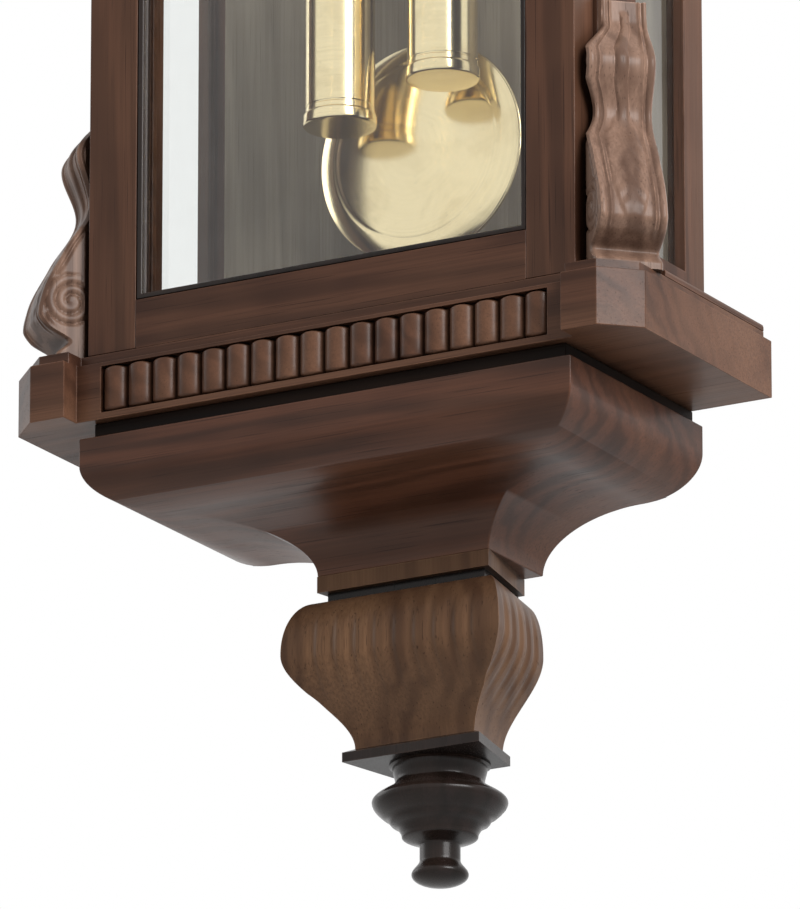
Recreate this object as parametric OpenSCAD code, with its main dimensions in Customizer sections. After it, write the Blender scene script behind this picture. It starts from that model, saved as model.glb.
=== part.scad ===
// Wall-hung regulator clock with two weights, in its glazed case.
// Sizes are in millimetres. The row's origin is the hanging hole at the wall, +X to the viewer's
// right, -Y out of the wall towards the viewer and +Z up. The modules work in heights above the
// underside of the plinth slab, and placed() brings them down to the hanging hole.

/* [Case] */
// Outer width of the case over its side frames
case_w = 400; // [380:1:440]
// Depth of the case from the wall to the plane that the door closes on
case_d = 154; // [150:1:180]
// Height of the side frames
side_h = 850; // [830:1:1000]
// Thickness of a side frame
side_t = 18; // [14:0.5:22]
// Thickness of the backboard
back_t = 20; // [16:0.5:22]
// Width of the front stile of a side frame
side_front_stile = 56; // [40:1:60]
// Width of the rear stile of a side frame
side_rear_stile = 28; // [24:1:36]
// Height of the rails of a side frame
side_rail = 44; // [36:1:60]
// Height of the hanging hole above the underside of the slab
hang_h = 995; // [985:1:1300]
// Radius of the hanging hole
hang_r = 5; // [3:0.5:7]

/* [Plinth] */
// Height of the plinth slab
slab_h = 50; // [44:1:60]
// How far the slab stands out at each side of the case
slab_side = 53; // [45:1:60]
// How far the slab stands out in front of the closed door
slab_front = 27; // [20:1:40]
// How far the slab's middle lies back between its corners
slab_mid_in = 17; // [10:1:20]
// Leg of the slab's canted corner
slab_cant = 25; // [15:1:30]
// Height of the step along the slab's upper edge
slab_step_h = 8; // [5:1:12]
// How far that step lies in
slab_step_in = 6; // [3:0.5:8]
// Width of one reed of the front
reed_w = 20; // [14:0.5:26]
// Number of reeds of the front
reed_n = 18; // [9:1:19]
// Height of the plain edge over and under the reeds
reed_edge = 5; // [4:0.5:8]
// Depth of the recess that holds the reeds
reed_depth = 8; // [6:0.5:10]
// Height of the moulding that lies on the slab along each side
skirt_h = 34; // [20:1:40]

/* [Base] */
// Height of the dark neck under the slab
neck_h = 12; // [8:1:16]
// How far the neck lies in from the ogee's upper edge
neck_in = 8; // [5:0.5:14]
// Half width of the ogee base at its upper edge
ogee_half = 198; // [185:1:200]
// Depth of the ogee base at its upper edge
ogee_depth = 192; // [190:1:204]
// Height of the straight edge at the top of the ogee base
ogee_edge = 20; // [6:1:24]
// Height of the swelling part of the ogee
ogee_swell_h = 30; // [26:1:44]
// How far the swelling part draws in
ogee_swell_in = 48; // [36:1:60]
// Height of the hollow part of the ogee
ogee_hollow_h = 41; // [36:1:55]
// Half width at the wall of the block under the ogee
block_half = 54; // [48:1:66]
// Depth of the block under the ogee
block_depth = 79; // [74:1:112]
// Angle at which the sides of the block and the swelling spread towards the front
pendant_splay = 11; // [0:1:14]
// Height of the block under the ogee
block_h = 12; // [10:1:32]
// Half width at the wall of the pendant's reeded swelling
bulge_half = 69; // [66:1:76]
// Depth of the pendant's reeded swelling
bulge_depth = 98; // [92:1:130]
// Height from the groove to the widest place of the swelling
bulge_up = 39; // [22:1:44]
// Height from the widest place to the foot of the swelling
bulge_down = 66; // [56:1:80]
// Half width at the wall of the foot of the swelling
foot_half = 36; // [32:1:42]
// Depth of the foot of the swelling
foot_depth = 62; // [56:1:80]
// Distance of the end finial's axis from the wall
knob_axis = 26; // [22:1:36]
// Radius of the end finial's ball
knob_r = 48; // [40:0.5:50]
// Height of the end finial
knob_h = 88; // [60:1:120]

/* [Corner consoles] */
// Width of a corner console across its face
console_w = 50; // [40:1:56]
// Height of a lower console
console_h = 208; // [180:1:240]
// Height of an upper console
console_top_h = 156; // [120:1:180]
// Reach of a console's lower lobe from the corner line
lobe_r = 63; // [56:1:66]
// Reach of a console's neck
waist_r = 25; // [20:1:32]
// Reach of a console's upper knob
crook_r = 36; // [30:1:44]

/* [Crown] */
// Thickness of the top board
top_t = 12; // [10:1:18]
// Height of the cornice's lower slab
cornice_slab_h = 20; // [14:1:26]
// How far the cornice's lower slab stands out at the sides
cornice_side = 48; // [44:1:56]
// Height of the cornice's hollow moulding
crown_h = 28; // [22:1:34]
// How far the hollow moulding leans out
crown_out = 22; // [14:1:26]
// Height of the cornice's upper fillet
crown_fillet = 8; // [5:1:12]
// Half width of the pediment
ped_half = 196; // [180:1:210]
// Height of the pediment's shoulders
ped_low = 34; // [26:1:44]
// Height of the pediment's middle
ped_high = 132; // [110:1:150]
// Half width of the pediment's middle
ped_mid = 62; // [50:1:70]
// Thickness of the pediment
ped_t = 24; // [18:1:30]
// Height of the middle finial
crest_h = 74; // [50:1:90]
// Height of a side finial
urn_h = 92; // [70:1:110]

/* [Door] */
// Thickness of the door
door_t = 28; // [24:1:32]
// Width of a door stile
stile_w = 39; // [34:1:46]
// Height of a door rail
rail_h = 36; // [30:1:46]
// Gap between the door and what lies round it
door_gap = 1.5; // [1:0.1:2.5]
// How far the door's edge lies in from the side of the case
door_in = 3; // [2.5:0.1:4]
// Width of the rebate for the glass
rebate_w = 8; // [6:0.5:10]
// Depth of the rebate for the glass
rebate_d = 8.5; // [7:0.5:10]
// Thickness of the glass
glass_t = 3; // [2:0.5:4]
// Radius of a hinge knuckle
knuckle_r = 3; // [2.5:0.1:3.2]
// Length of one hinge
hinge_l = 54; // [40:1:70]
// Radius of the door knob
door_knob_r = 9; // [7:0.5:12]

/* [Dial] */
// Height of the dial's centre above the underside of the slab
dial_h = 745; // [735:1:770]
// Radius of the dial plate
dial_r = 92; // [86:1:96]
// Outer radius of the bezel
bezel_r = 105; // [102:1:110]
// Length of the minute hand
minute_l = 78; // [66:1:80]
// Length of the hour hand
hour_l = 54; // [44:1:60]

/* [Movement] */
// Half width of the movement plates
plate_half = 76; // [75:0.5:80]
// Distance of the back plate's front from the wall
plate_back_y = 73; // [73:0.5:75]
// Distance between the two plates
plate_gap = 44; // [44:0.5:48]
// Thickness of a plate
plate_t = 3; // [2:0.5:3]
// Radius of a line drum
drum_r = 17; // [15:0.5:17]
// Distance of a drum's axis from the middle
drum_x = 38; // [37.5:0.1:39]
// Depth of the drums' axes under the dial's centre
drum_drop = 10; // [9:0.5:11]
// Tip radius of the escape wheel
escape_r = 13; // [12:0.5:13]
// Height of the anchor's and the pendulum's axis over the dial's centre
anchor_up = 55; // [54:0.5:57]

/* [Pendulum] */
// Distance of the pendulum's plane from the wall
pend_y = 52; // [51:0.5:53]
// Height of the bob's centre above the underside of the slab
bob_h = 209; // [200:1:230]
// Radius of the bob
bob_r = 82; // [70:1:84]
// Thickness of the bob
bob_t = 28; // [16:1:29]
// Width of the pendulum rod
rod_w = 12; // [9:0.5:14]
// Thickness of the pendulum rod
rod_t = 6; // [5:0.5:7]

/* [Weights] */
// Radius of a weight's shell
weight_r = 25; // [22:0.5:25.5]
// Height of a weight's shell
weight_l = 150; // [120:1:165]
// Height of the left weight's underside above the underside of the slab
weight_left_h = 222; // [150:1:240]
// Height of the right weight's underside above the underside of the slab
weight_right_h = 243; // [150:1:250]
// Radius of a pulley at the floor of its groove
pulley_r = 13; // [12:0.5:13.5]
// Radius of the gut line
line_r = 1; // [0.7:0.1:1.2]

/* [Strike] */
// Height of the gong's centre above the underside of the slab
gong_h = 622; // [612:1:626]
// Radius of the gong's outer turn
gong_r = 48; // [42:1:50]
// Radius of the gong's inner end
gong_inner_r = 22; // [16:1:26]
// Number of turns of the gong
gong_turns = 4; // [2:1:5]
// Radius of the gong's wire
gong_wire_r = 1.5; // [1:0.1:1.8]

/* [Hidden] */
$fn = 64;

// Clearance of a running pin or shaft in its bore, on the radius
run = 0.05;
// Clearance between two pieces that only lie beside each other
loose = 0.3;
// A length that passes right through anything
far = 900;
// A small overlap that makes a cut go right through a face
eps = 0.5;

case_half = case_w / 2;
inner_half = case_half - side_t;
side_top = slab_h + side_h;
door_back = case_d + 0.5;
door_front = door_back + door_t;
door_half = case_half - door_in;
door_low = slab_h + door_gap;
door_high = side_top - door_gap;
glass_half = door_half - stile_w;
glass_low = door_low + rail_h;
glass_high = door_high - rail_h;
slab_half = case_half + slab_side;
slab_depth = door_front + slab_front;
slab_mid = slab_depth - slab_mid_in;
tab_half = 70;
tab_top = hang_h + 25;
tab_round = 20;
corner_in = 15;
corner_y = case_d - corner_in;

block_top = -neck_h - ogee_edge - ogee_swell_h - ogee_hollow_h;
groove_h = 8;
groove_top = block_top - block_h;
bulge_top = groove_top - groove_h;
bulge_mid = bulge_top - bulge_up;
bulge_low = bulge_mid - bulge_down;
foot_plate_h = 10;
knob_top = bulge_low - foot_plate_h;

cornice_low = side_top + top_t;
cornice_half = case_half + cornice_side;
cornice_depth = door_front + 24;
crown_low = cornice_low + cornice_slab_h;
crown_high = crown_low + crown_h;
cornice_top = crown_high + crown_fillet;

plate_front_y = plate_back_y + plate_gap;
// How far the movement's plates reach below and above the middle of the dial
plate_down = 52;
plate_up = 68;
// Thickness of the bracket's arms
bracket_t = 10;
bracket_high = dial_h - plate_down;
bracket_low = bracket_high - bracket_t;
plate_top = dial_h + plate_up;
drum_h = dial_h - drum_drop;
drum_y = plate_back_y + plate_gap / 2;
dial_y = plate_front_y + plate_t + 11;
dial_t = 2;
axis_h = dial_h + anchor_up;

// Teeth and leaves of the time train, fixed by the seconds pendulum's beat
great_teeth = 96;
centre_leaves = 12;
centre_teeth = 84;
third_teeth = 60;
fast_leaves = 8;
escape_teeth = 30;

// Modules of the wheels' teeth, set by the distance between the arbors
centre_dist = norm([drum_x, drum_drop]);
great_module = 2 * centre_dist / (great_teeth + centre_leaves);
centre_module = 0.45;
third_module = 0.5;
third_dist = centre_module * (centre_teeth + fast_leaves) / 2;
escape_dist = third_module * (third_teeth + fast_leaves) / 2;
escape_up = anchor_up - escape_r * sqrt(2);
third_up = (pow(third_dist, 2) - pow(escape_dist, 2) + pow(escape_up, 2)) / (2 * escape_up);
third_x = sqrt(pow(third_dist, 2) - pow(third_up, 2));
cannon_leaves = 12;
minute_teeth = 36;
minute_leaves = 10;
hour_teeth = 40;
cannon_module = 0.625;
hour_module = cannon_module * (cannon_leaves + minute_teeth) / (minute_leaves + hour_teeth);
motion_dist = cannon_module * (cannon_leaves + minute_teeth) / 2;

pulley_gap = line_r + 0.2;
fall_x = pulley_r + pulley_gap;
weight_x = drum_x + drum_r + pulley_gap - fall_x;
shell_rim = 1.5;
hook_h = 16;
sheave_up = 40;

// Moves what is drawn in heights above the slab's underside into the row's frame.
module placed() translate([0, 0, -hang_h]) children();

// Draws its children at both sides of the middle.
module both_sides() {
    children();
    mirror([1, 0, 0]) children();
}

// A box from its low to its high corner.
module box(low, high) translate(low) cube(high - low);

// A round bar along Y between two distances from the wall.
module bar_y(x, z, r, near, away)
    translate([x, -near, z]) rotate([90, 0, 0]) cylinder(r = r, h = away - near);

// A flat outline in X and Z, standing between two distances from the wall.
module plate_y(near, away)
    translate([0, -near, 0]) rotate([90, 0, 0]) linear_extrude(away - near) children();

// Points of an elliptic quarter: centre c, half axes s, from angle a to angle b.
function quarter(c, s, a, b, n = 8) =
    [for (i = [0:n]) let (t = a + (b - a) * i / n) [c[0] + s[0] * cos(t), c[1] + s[1] * sin(t)]];

// A soft step from a to b while t runs from 0 to 1.
function ease(a, b, t) = a + (b - a) * (1 - cos(180 * t)) / 2;

// Points [reach, height] through keys [height, reach], each pair joined by a soft step.
function swept(keys, n = 6) = concat(
    [for (k = [0:len(keys) - 2]) for (i = [0:n - 1])
        [ease(keys[k][1], keys[k + 1][1], i / n),
         keys[k][0] + (keys[k + 1][0] - keys[k][0]) * i / n]],
    [[keys[len(keys) - 1][1], keys[len(keys) - 1][0]]]);

function turned_round(points) = [for (i = [len(points) - 1:-1:0]) points[i]];

// A block with a flat back at the wall whose half width and depth change with the height:
// each row of the profile is [half width, depth, height]. Its sides spread by the angle splay
// towards the front.
module moulded(profile, splay = 0) {
    last = len(profile) - 1;
    widths = concat([for (p = profile) [p[0] * cos(splay), p[2]]],
                    [[-far, profile[last][2]], [-far, profile[0][2]]]);
    depths = [for (p = profile) [-p[1], p[2]]];
    intersection() {
        rotate([0, 0, splay]) plate_y(-far, far) polygon(widths);
        mirror([1, 0, 0]) rotate([0, 0, splay]) plate_y(-far, far) polygon(widths);
        translate([-far / 2, 0, 0]) rotate([90, 0, 90]) linear_extrude(far)
            polygon(concat(depths, [[0, depths[last][1]], [0, depths[0][1]]]));
    }
}

// The plan of a slab with canted front corners and its back at the wall.
module canted_plan(half, depth, cant)
    polygon([[-half, 0], [-half, cant - depth], [cant - half, -depth], [half - cant, -depth],
             [half, cant - depth], [half, 0]]);

module canted(half, depth, cant, low, high)
    translate([0, 0, low]) linear_extrude(high - low) canted_plan(half, depth, cant);

// A toothed disc in the X-Z plane with slim teeth; turn is the angle of its first tooth.
// The teeth fill less than half of the pitch, so that two such wheels run free in mesh.
module toothed(teeth, module_size, turn = 0, share = 0.34) {
    pitch_r = teeth * module_size / 2;
    tip_r = pitch_r + 0.8 * module_size;
    root_r = pitch_r - 1.25 * module_size;
    root_a = 360 / teeth * share * 0.62;
    tip_a = 360 / teeth * share * 0.3;
    polygon([for (i = [0:teeth - 1]) for (p = [[root_r, -root_a], [tip_r, -tip_a],
                                               [tip_r, tip_a], [root_r, root_a]])
        let (a = turn + 360 * i / teeth + p[1]) p[0] * [cos(a), sin(a)]]);
}

// A spoked wheel with teeth, a rim and a hub with a hole of hub_bore.
module wheel(teeth, module_size, turn, spokes, rim, hub_r, hub_bore) {
    root_r = teeth * module_size / 2 - 1.25 * module_size;
    difference() {
        toothed(teeth, module_size, turn);
        circle(r = root_r - rim);
    }
    difference() {
        union() {
            circle(r = hub_r);
            for (i = [0:spokes - 1])
                rotate(360 * i / spokes) translate([0, -hub_r * 0.3])
                    square([root_r - rim / 2, hub_r * 0.6]);
        }
        circle(r = hub_bore);
    }
}

// Case

module backboard() color("#5a3a2c") placed() {
    difference() {
        union() {
            box([-inner_half, -back_t, slab_h], [inner_half, 0, side_top]);
            box([-tab_half, -back_t, side_top - eps], [tab_half, 0, tab_top - tab_round]);
            plate_y(0, back_t) translate([0, tab_top - tab_round])
                polygon(concat([[-tab_half, -eps], [tab_half, -eps]],
                               quarter([0, 0], [tab_half, tab_round], 0, 180, 20)));
        }
        bar_y(0, hang_h, hang_r + 4, -eps, back_t + eps);
        box([-hanger_half, -hanger_t, hang_h - hanger_down],
            [hanger_half, eps, hang_h + hanger_rise]);
        both_sides() bar_y(steady_x, steady_h, steady_r, -eps, back_t + eps);
    }
}

hanger_half = 32;
hanger_t = 3;
hanger_down = 20;
hanger_rise = 12;
steady_x = 150;
steady_h = slab_h + 34;
steady_r = 3;

module hanger_plate() color("#c9a548") placed() difference() {
    box([-hanger_half, -hanger_t, hang_h - hanger_down],
        [hanger_half, 0, hang_h + hanger_rise]);
    bar_y(0, hang_h, hang_r, -eps, hanger_t + eps);
}

// Two screws with wide heads that steady the foot of the case against the wall.
module steady_screws() color("#c9a548") placed() both_sides() {
    bar_y(steady_x, steady_h, steady_r, 0, back_t + 1);
    bar_y(steady_x, steady_h, steady_r + 5, back_t, back_t + 4);
}

module top_board() color("#4a2c20") placed() difference() {
    box([-case_half, -door_front - 4, side_top], [case_half, 0, cornice_low]);
    box([-tab_half, -back_t, side_top - eps], [tab_half, eps, cornice_low + eps]);
}

side_glass_x = inner_half + 6;

// The right side frame: two stiles and two rails round the glass, rebated from inside.
module side_frame() {
    front = case_d - side_front_stile;
    difference() {
        box([inner_half, -case_d, slab_h], [case_half, 0, side_top]);
        box([inner_half - eps, -front, slab_h + side_rail],
            [case_half + eps, -side_rear_stile, side_top - side_rail]);
        box([inner_half - eps, -front - rebate_w, slab_h + side_rail - rebate_w],
            [side_glass_x + glass_t, -side_rear_stile + rebate_w,
             side_top - side_rail + rebate_w]);
    }
}

// The left side frame has the pocket that the door's catch turns into.
module side_frame_left() color("#5a3626") placed() difference() {
    mirror([1, 0, 0]) side_frame();
    box([-inner_half - catch_reach, -door_back + catch_near - catch_play,
         latch_h - catch_half - catch_play],
        [-inner_half + eps, -door_back + catch_near + catch_t + catch_play,
         latch_h + catch_sweep + catch_play]);
}

module side_frame_right() color("#5a3626") placed() side_frame();

module side_glasses() color("#dfe6e6", 0.35) placed() both_sides()
    box([side_glass_x, -case_d + side_front_stile - rebate_w, slab_h + side_rail - rebate_w],
        [side_glass_x + glass_t, -side_rear_stile + rebate_w,
         side_top - side_rail + rebate_w]);

reed_span = reed_w * reed_n;
reed_top = slab_h - slab_step_h - reed_edge + 2;
reed_proud = 1.5;

module plinth_slab() color("#5e3a2b") placed() difference() {
    union() {
        canted(slab_half, slab_depth, slab_cant, 0, slab_h - slab_step_h);
        canted(slab_half - slab_step_in, slab_depth - slab_step_in,
               slab_cant - slab_step_in * 0.4, slab_h - slab_step_h, slab_h);
    }
    box([-case_half, -slab_depth - eps, -eps], [case_half, -slab_mid, slab_h + eps]);
    box([-case_half, -slab_depth - eps, slab_h - slab_step_h],
        [case_half, -slab_mid + slab_step_in, slab_h + eps]);
    box([-reed_span / 2, -slab_mid - eps, reed_edge],
        [reed_span / 2, -slab_mid + reed_depth, reed_top]);
}

// The row of upright reeds, let into the slab's front.
module reeded_fascia() color("#6a4533") placed() {
    box([-reed_span / 2, -slab_mid + reed_depth / 2, reed_edge],
        [reed_span / 2, -slab_mid + reed_depth, reed_top]);
    intersection() {
        for (i = [0:reed_n - 1])
            translate([reed_w * (i + 0.5) - reed_span / 2, -slab_mid + reed_w / 2 - reed_proud,
                       reed_edge])
                cylinder(r = reed_w / 2, h = reed_top - reed_edge, $fn = 48);
        box([-reed_span / 2, -slab_mid - reed_proud, reed_edge],
            [reed_span / 2, -slab_mid + reed_depth - 1, reed_top]);
    }
}

// A console's plan as seen from above: a strip of the console's width along its diagonal.
module console_plan(reach)
    translate([case_half, -corner_y]) rotate(-45)
        translate([-60, -console_w / 2]) square([60 + reach, console_w]);

// The sloping mouldings that lie on the slab along the sides, up to the consoles.
module side_skirts() color("#6a4533") placed() both_sides() difference() {
    plate_y(0, case_d - 10) polygon(concat(
        [[case_half, slab_h], [slab_half - slab_step_in, slab_h]],
        quarter([slab_half - slab_step_in - 4, slab_h + 3], [4, 3], 0, 90, 3),
        turned_round(quarter([case_half + 4 + skirt_hollow, slab_h + skirt_h],
                [skirt_hollow, skirt_h - 6], 180, 270, 8)),
        [[case_half, slab_h + skirt_h]]));
    translate([0, 0, slab_h - eps]) linear_extrude(skirt_h + 2 * eps) console_plan(80);
    translate([0, 0, slab_h - eps]) linear_extrude(skirt_h + 2 * eps)
        polygon([[case_half - eps, -case_d], [case_half + 80, -case_d - 80],
                 [case_half + 80, -case_d], [case_half + console_w / sqrt(2) - corner_in / 2,
                 -case_d + 10], [case_half - eps, -case_d + 40]]);
}

skirt_hollow = slab_side - slab_step_in - 8;

// The neck, the edge, the swelling and the hollow of the base, as [half width, depth, height].
base_foot = block_half + block_depth * tan(pendant_splay);
function base_depth(x) = block_depth
    + (x - base_foot) * (ogee_depth - block_depth) / (ogee_half - base_foot);
swell_low = -neck_h - ogee_edge - ogee_swell_h;
ogee_outline = concat(
    [[ogee_half, -neck_h]],
    quarter([ogee_half - ogee_swell_in, -neck_h - ogee_edge], [ogee_swell_in, ogee_swell_h],
            0, -90, 8),
    [for (p = quarter([ogee_half - ogee_swell_in, block_top],
                      [ogee_half - ogee_swell_in - base_foot, ogee_hollow_h], 90, 180, 10))
        if (p[0] < ogee_half - ogee_swell_in - 1) p]);

module ogee_base() color("#5a3527") placed() {
    moulded([[ogee_half - neck_in, ogee_depth - neck_in, 0],
             [ogee_half - neck_in, ogee_depth - neck_in, -neck_h]]);
    moulded([for (p = ogee_outline) [p[0], base_depth(p[0]), p[1]]]);
}

groove_in = 5;

// The plain block, the groove and the swelling with its upright flutes.
module pendant_block() color("#6b3f2c") placed() {
    moulded([[block_half, block_depth, block_top], [block_half, block_depth, groove_top]],
            pendant_splay);
    moulded([[block_half - groove_in, block_depth - groove_in, groove_top],
             [block_half - groove_in, block_depth - groove_in, bulge_top]], pendant_splay);
    difference() {
        moulded([for (p = concat(
            quarter([block_half, bulge_mid], [bulge_half - block_half, bulge_up], 90, 0, 8),
            swept([[bulge_mid - 1, bulge_half], [bulge_low, foot_half]], 10)))
                [p[0], p[1] < bulge_mid
                    ? foot_depth + (bulge_depth - foot_depth) * (p[0] - foot_half)
                        / (bulge_half - foot_half)
                    : block_depth + (bulge_depth - block_depth) * (p[0] - block_half)
                        / (bulge_half - block_half), p[1]]], pendant_splay);
        for (x = [-flute_n:flute_n])
            translate([x * flute_step, -bulge_depth - flute_r + flute_cut, bulge_mid])
                cylinder(r = flute_r, h = bulge_up * 1.2, center = true, $fn = 32);
        both_sides() rotate([0, 0, pendant_splay]) for (i = [1:flute_side_n])
            translate([bulge_half * cos(pendant_splay) + flute_r - flute_cut, -i * flute_step,
                       bulge_mid])
                cylinder(r = flute_r, h = bulge_up * 1.2, center = true, $fn = 32);
    }
    moulded([[foot_half, foot_depth, bulge_low],
             [foot_half + foot_lip, foot_depth + foot_lip, bulge_low - foot_lip / 2],
             [foot_half + foot_lip, foot_depth + foot_lip, knob_top]], pendant_splay);
}

flute_r = 4;
flute_cut = 2.5;
flute_step = 16;
flute_n = 3;
flute_side_n = 5;
foot_lip = 6;

// The turned end finial, cut flat where it meets the wall.
module end_finial() color("#3a241c") placed() intersection() {
    translate([0, -knob_axis, knob_top]) rotate_extrude($fn = 96) polygon(concat(
        [[0, 0], [knob_r * 0.74, 0]],
        swept([for (k = [[0.024, 0.7], [0.143, 0.66], [0.31, 1], [0.595, 0.56], [0.667, 0.3],
                         [0.786, 0.3], [0.905, 0.42]]) [-knob_h * k[0], knob_r * k[1]]], 5),
        [[knob_r * 0.36, -knob_h], [0, -knob_h]]));
    box([-far, -far, -far], [far, 0, 0]);
}

// The face outline of a console of height h as [reach, height], from its foot upwards.
function console_keys(h) = [[0, lobe_r - 4], [h * 0.04, lobe_r - 5], [h * 0.075, lobe_r - 11],
    [h * 0.14, lobe_r - 3], [h * 0.26, lobe_r], [h * 0.42, lobe_r * 0.72],
    [h * 0.62, waist_r], [h * 0.82, crook_r], [h * 0.97, waist_r * 0.55], [h, waist_r * 0.5]];

// A right-hand console with its foot at height 0, cut to the case's side and clear of the door.
module console(h) difference() {
    translate([case_half, -corner_y, 0]) rotate([0, 0, -45]) translate([0, console_w / 2, 0])
        rotate([90, 0, 0]) linear_extrude(console_w)
            polygon(concat([[-60, 0]], swept(console_keys(h)), [[-60, h]]));
    box([-far, -far, -eps], [case_half, far, h + eps]);
    box([-far, -far, -eps], [case_half + door_in, -case_d, h + eps]);
}

module console_right() color("#6a4534") placed() translate([0, 0, slab_h])
    console(console_h);

module console_left() color("#6a4534") placed() translate([0, 0, slab_h])
    mirror([1, 0, 0]) console(console_h);

// The consoles under the cornice are the lower ones turned upside down.
module upper_consoles() color("#6a4534") placed() both_sides()
    translate([0, 0, cornice_low]) mirror([0, 0, 1]) console(console_top_h);

module cornice() color("#5e3a2b") placed() difference() {
    union() {
        canted(cornice_half, cornice_depth, slab_cant, cornice_low, crown_low);
        moulded([for (p = concat(
            quarter([0, crown_high], [crown_out, crown_h], -90, 0, 8),
            [[crown_out, cornice_top]]))
                [cornice_half - slab_step_in + p[0], cornice_depth - slab_step_in + p[0], p[1]]]);
    }
    box([-tab_half, -back_t, cornice_low - eps], [tab_half, eps, cornice_top + eps]);
}

ped_y = door_front - 6;
ped_end = 20;
boss_t = 8;
// Greatest radius of a top finial, and half the flat that the middle one stands on
urn_r = 20;
crest_a = asin((urn_r * 0.8 + 1) / ped_mid);

// The pediment: low shoulders that rise in hollow curves to a round-headed middle.
module pediment() color("#5a3626") placed() {
    rise = ped_high - ped_mid - ped_low;
    run_out = ped_half - ped_mid - ped_end;
    right_hollow = [for (p = quarter([0, 0], [run_out, rise], 270, 180, 10))
        [ped_half - ped_end + p[0], ped_low + rise + p[1]]];
    left_hollow = [for (p = turned_round(right_hollow)) [-p[0], p[1]]];
    plate_y(ped_y - ped_t, ped_y) translate([0, cornice_top]) polygon(concat(
        [[ped_half, 0], [ped_half, ped_low]], right_hollow,
        quarter([0, ped_high - ped_mid], [ped_mid, ped_mid], 0, 90 - crest_a, 12),
        quarter([0, ped_high - ped_mid], [ped_mid, ped_mid], 90 + crest_a, 180, 12),
        left_hollow, [[-ped_half, ped_low], [-ped_half, 0]]));
    plate_y(ped_y - eps, ped_y + boss_t) translate([0, cornice_top + ped_high - ped_mid])
        circle(r = ped_mid - 16);
}

// A turned finial of height h and greatest radius r standing on height 0.
module urn(h, r) rotate_extrude($fn = 64) polygon(concat(
    [[0, 0], [r * 0.8, 0]],
    swept([[h * 0.08, r * 0.8], [h * 0.16, r * 0.42], [h * 0.24, r * 0.5], [h * 0.46, r],
           [h * 0.62, r * 0.36], [h * 0.7, r * 0.36], [h * 0.82, r * 0.52],
           [h * 0.97, r * 0.12]], 5),
    [[0, h]]));

module top_finials() color("#3f281e") placed() {
    translate([0, -ped_y + ped_t / 2, cornice_top + ped_high - ped_mid * (1 - cos(crest_a))])
        urn(crest_h, urn_r);
    both_sides() translate([cornice_half - urn_r - 2, -cornice_depth + urn_r + 6, cornice_top])
        urn(urn_h, urn_r);
}

// Door

module door_stile() difference() {
    box([glass_half, -door_front, door_low], [door_half, -door_back, door_high]);
    box([glass_half - eps, -door_back - rebate_d, glass_low - rebate_w],
        [glass_half + rebate_w, -door_back + eps, glass_high + rebate_w]);
}

// The left stile is bored for the knob's spindle.
module door_stile_left() color("#5f3c2d") placed() difference() {
    mirror([1, 0, 0]) door_stile();
    bar_y(-latch_x, latch_h, spindle_r + run, door_back - eps, door_front + eps);
}

module door_stile_right() color("#5f3c2d") placed() door_stile();

module door_rail(low, high, cut_low, cut_high) difference() {
    box([-glass_half, -door_front, low], [glass_half, -door_back, high]);
    box([-glass_half - eps, -door_back - rebate_d, cut_low],
        [glass_half + eps, -door_back + eps, cut_high]);
}

module door_rail_bottom() color("#5f3c2d") placed()
    door_rail(door_low, glass_low, glass_low - rebate_w, glass_low + eps);

module door_rail_top() color("#5f3c2d") placed()
    door_rail(glass_high, door_high, glass_high - eps, glass_high + rebate_w);

module door_glass() color("#e8eeee", 0.3) placed()
    box([-glass_half - rebate_w, -door_back - rebate_d, glass_low - rebate_w],
        [glass_half + rebate_w, -door_back - rebate_d + glass_t, glass_high + rebate_w]);

// Four beads hold the glass in its rebate from inside.
module glass_beads() color("#4c2e22") placed() {
    near = -door_back - rebate_d + glass_t;
    both_sides() box([glass_half, near, glass_low],
                     [glass_half + rebate_w, -door_back, glass_high]);
    box([-glass_half - rebate_w, near, glass_low - rebate_w],
        [glass_half + rebate_w, -door_back, glass_low]);
    box([-glass_half - rebate_w, near, glass_high],
        [glass_half + rebate_w, -door_back, glass_high + rebate_w]);
}

hinge_x = case_half + 1;
hinge_y = door_front + 1.5;
hinge_pin_r = 1.2;
leaf_t = 1.2;
leaf_w = 16;
hinge_low_h = slab_h + console_h + 40;
hinge_high_h = cornice_low - console_top_h - 40 - hinge_l;

// The case's half of a hinge: a cranked leaf along the side, two knuckles and the pin.
module case_hinge_leaves() color("#c9a548") placed()
    for (z = [hinge_low_h, hinge_high_h]) translate([hinge_x, -hinge_y, z]) {
        for (k = [0, 2]) translate([0, 0, k * hinge_l / 3]) {
            cylinder(r = knuckle_r, h = hinge_l / 3);
            box([case_half - hinge_x + 0.2, 0, 0],
                [case_half - hinge_x + leaf_t, hinge_y - case_d + 1, hinge_l / 3]);
        }
        box([case_half - hinge_x, hinge_y - case_d + 0.5, 0],
            [case_half - hinge_x + leaf_t, hinge_y - case_d + 34, hinge_l]);
        translate([0, 0, -2]) cylinder(r = hinge_pin_r, h = hinge_l + 4);
        for (z2 = [-4, hinge_l]) translate([0, 0, z2]) cylinder(r = knuckle_r, h = 4);
    }

// The door's half of a hinge: one knuckle in the middle and a leaf on the door's front edge.
module door_hinge_leaves() color("#c9a548") placed()
    for (z = [hinge_low_h, hinge_high_h])
        translate([hinge_x, -hinge_y, z + hinge_l / 3 + loose / 2]) difference() {
            union() {
                cylinder(r = knuckle_r, h = hinge_l / 3 - loose);
                box([door_half - hinge_x - leaf_w, -leaf_t, 0],
                    [0, hinge_y - door_front, hinge_l / 3 - loose]);
            }
            translate([0, 0, -eps]) cylinder(r = hinge_pin_r + run, h = hinge_l);
        }

latch_x = inner_half - 11;
latch_h = (door_low + door_high) / 2;
spindle_r = 3;
catch_half = 4;
catch_t = 3;
catch_near = 5;
catch_play = 1;
catch_long = 17;
catch_reach = 9;
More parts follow.
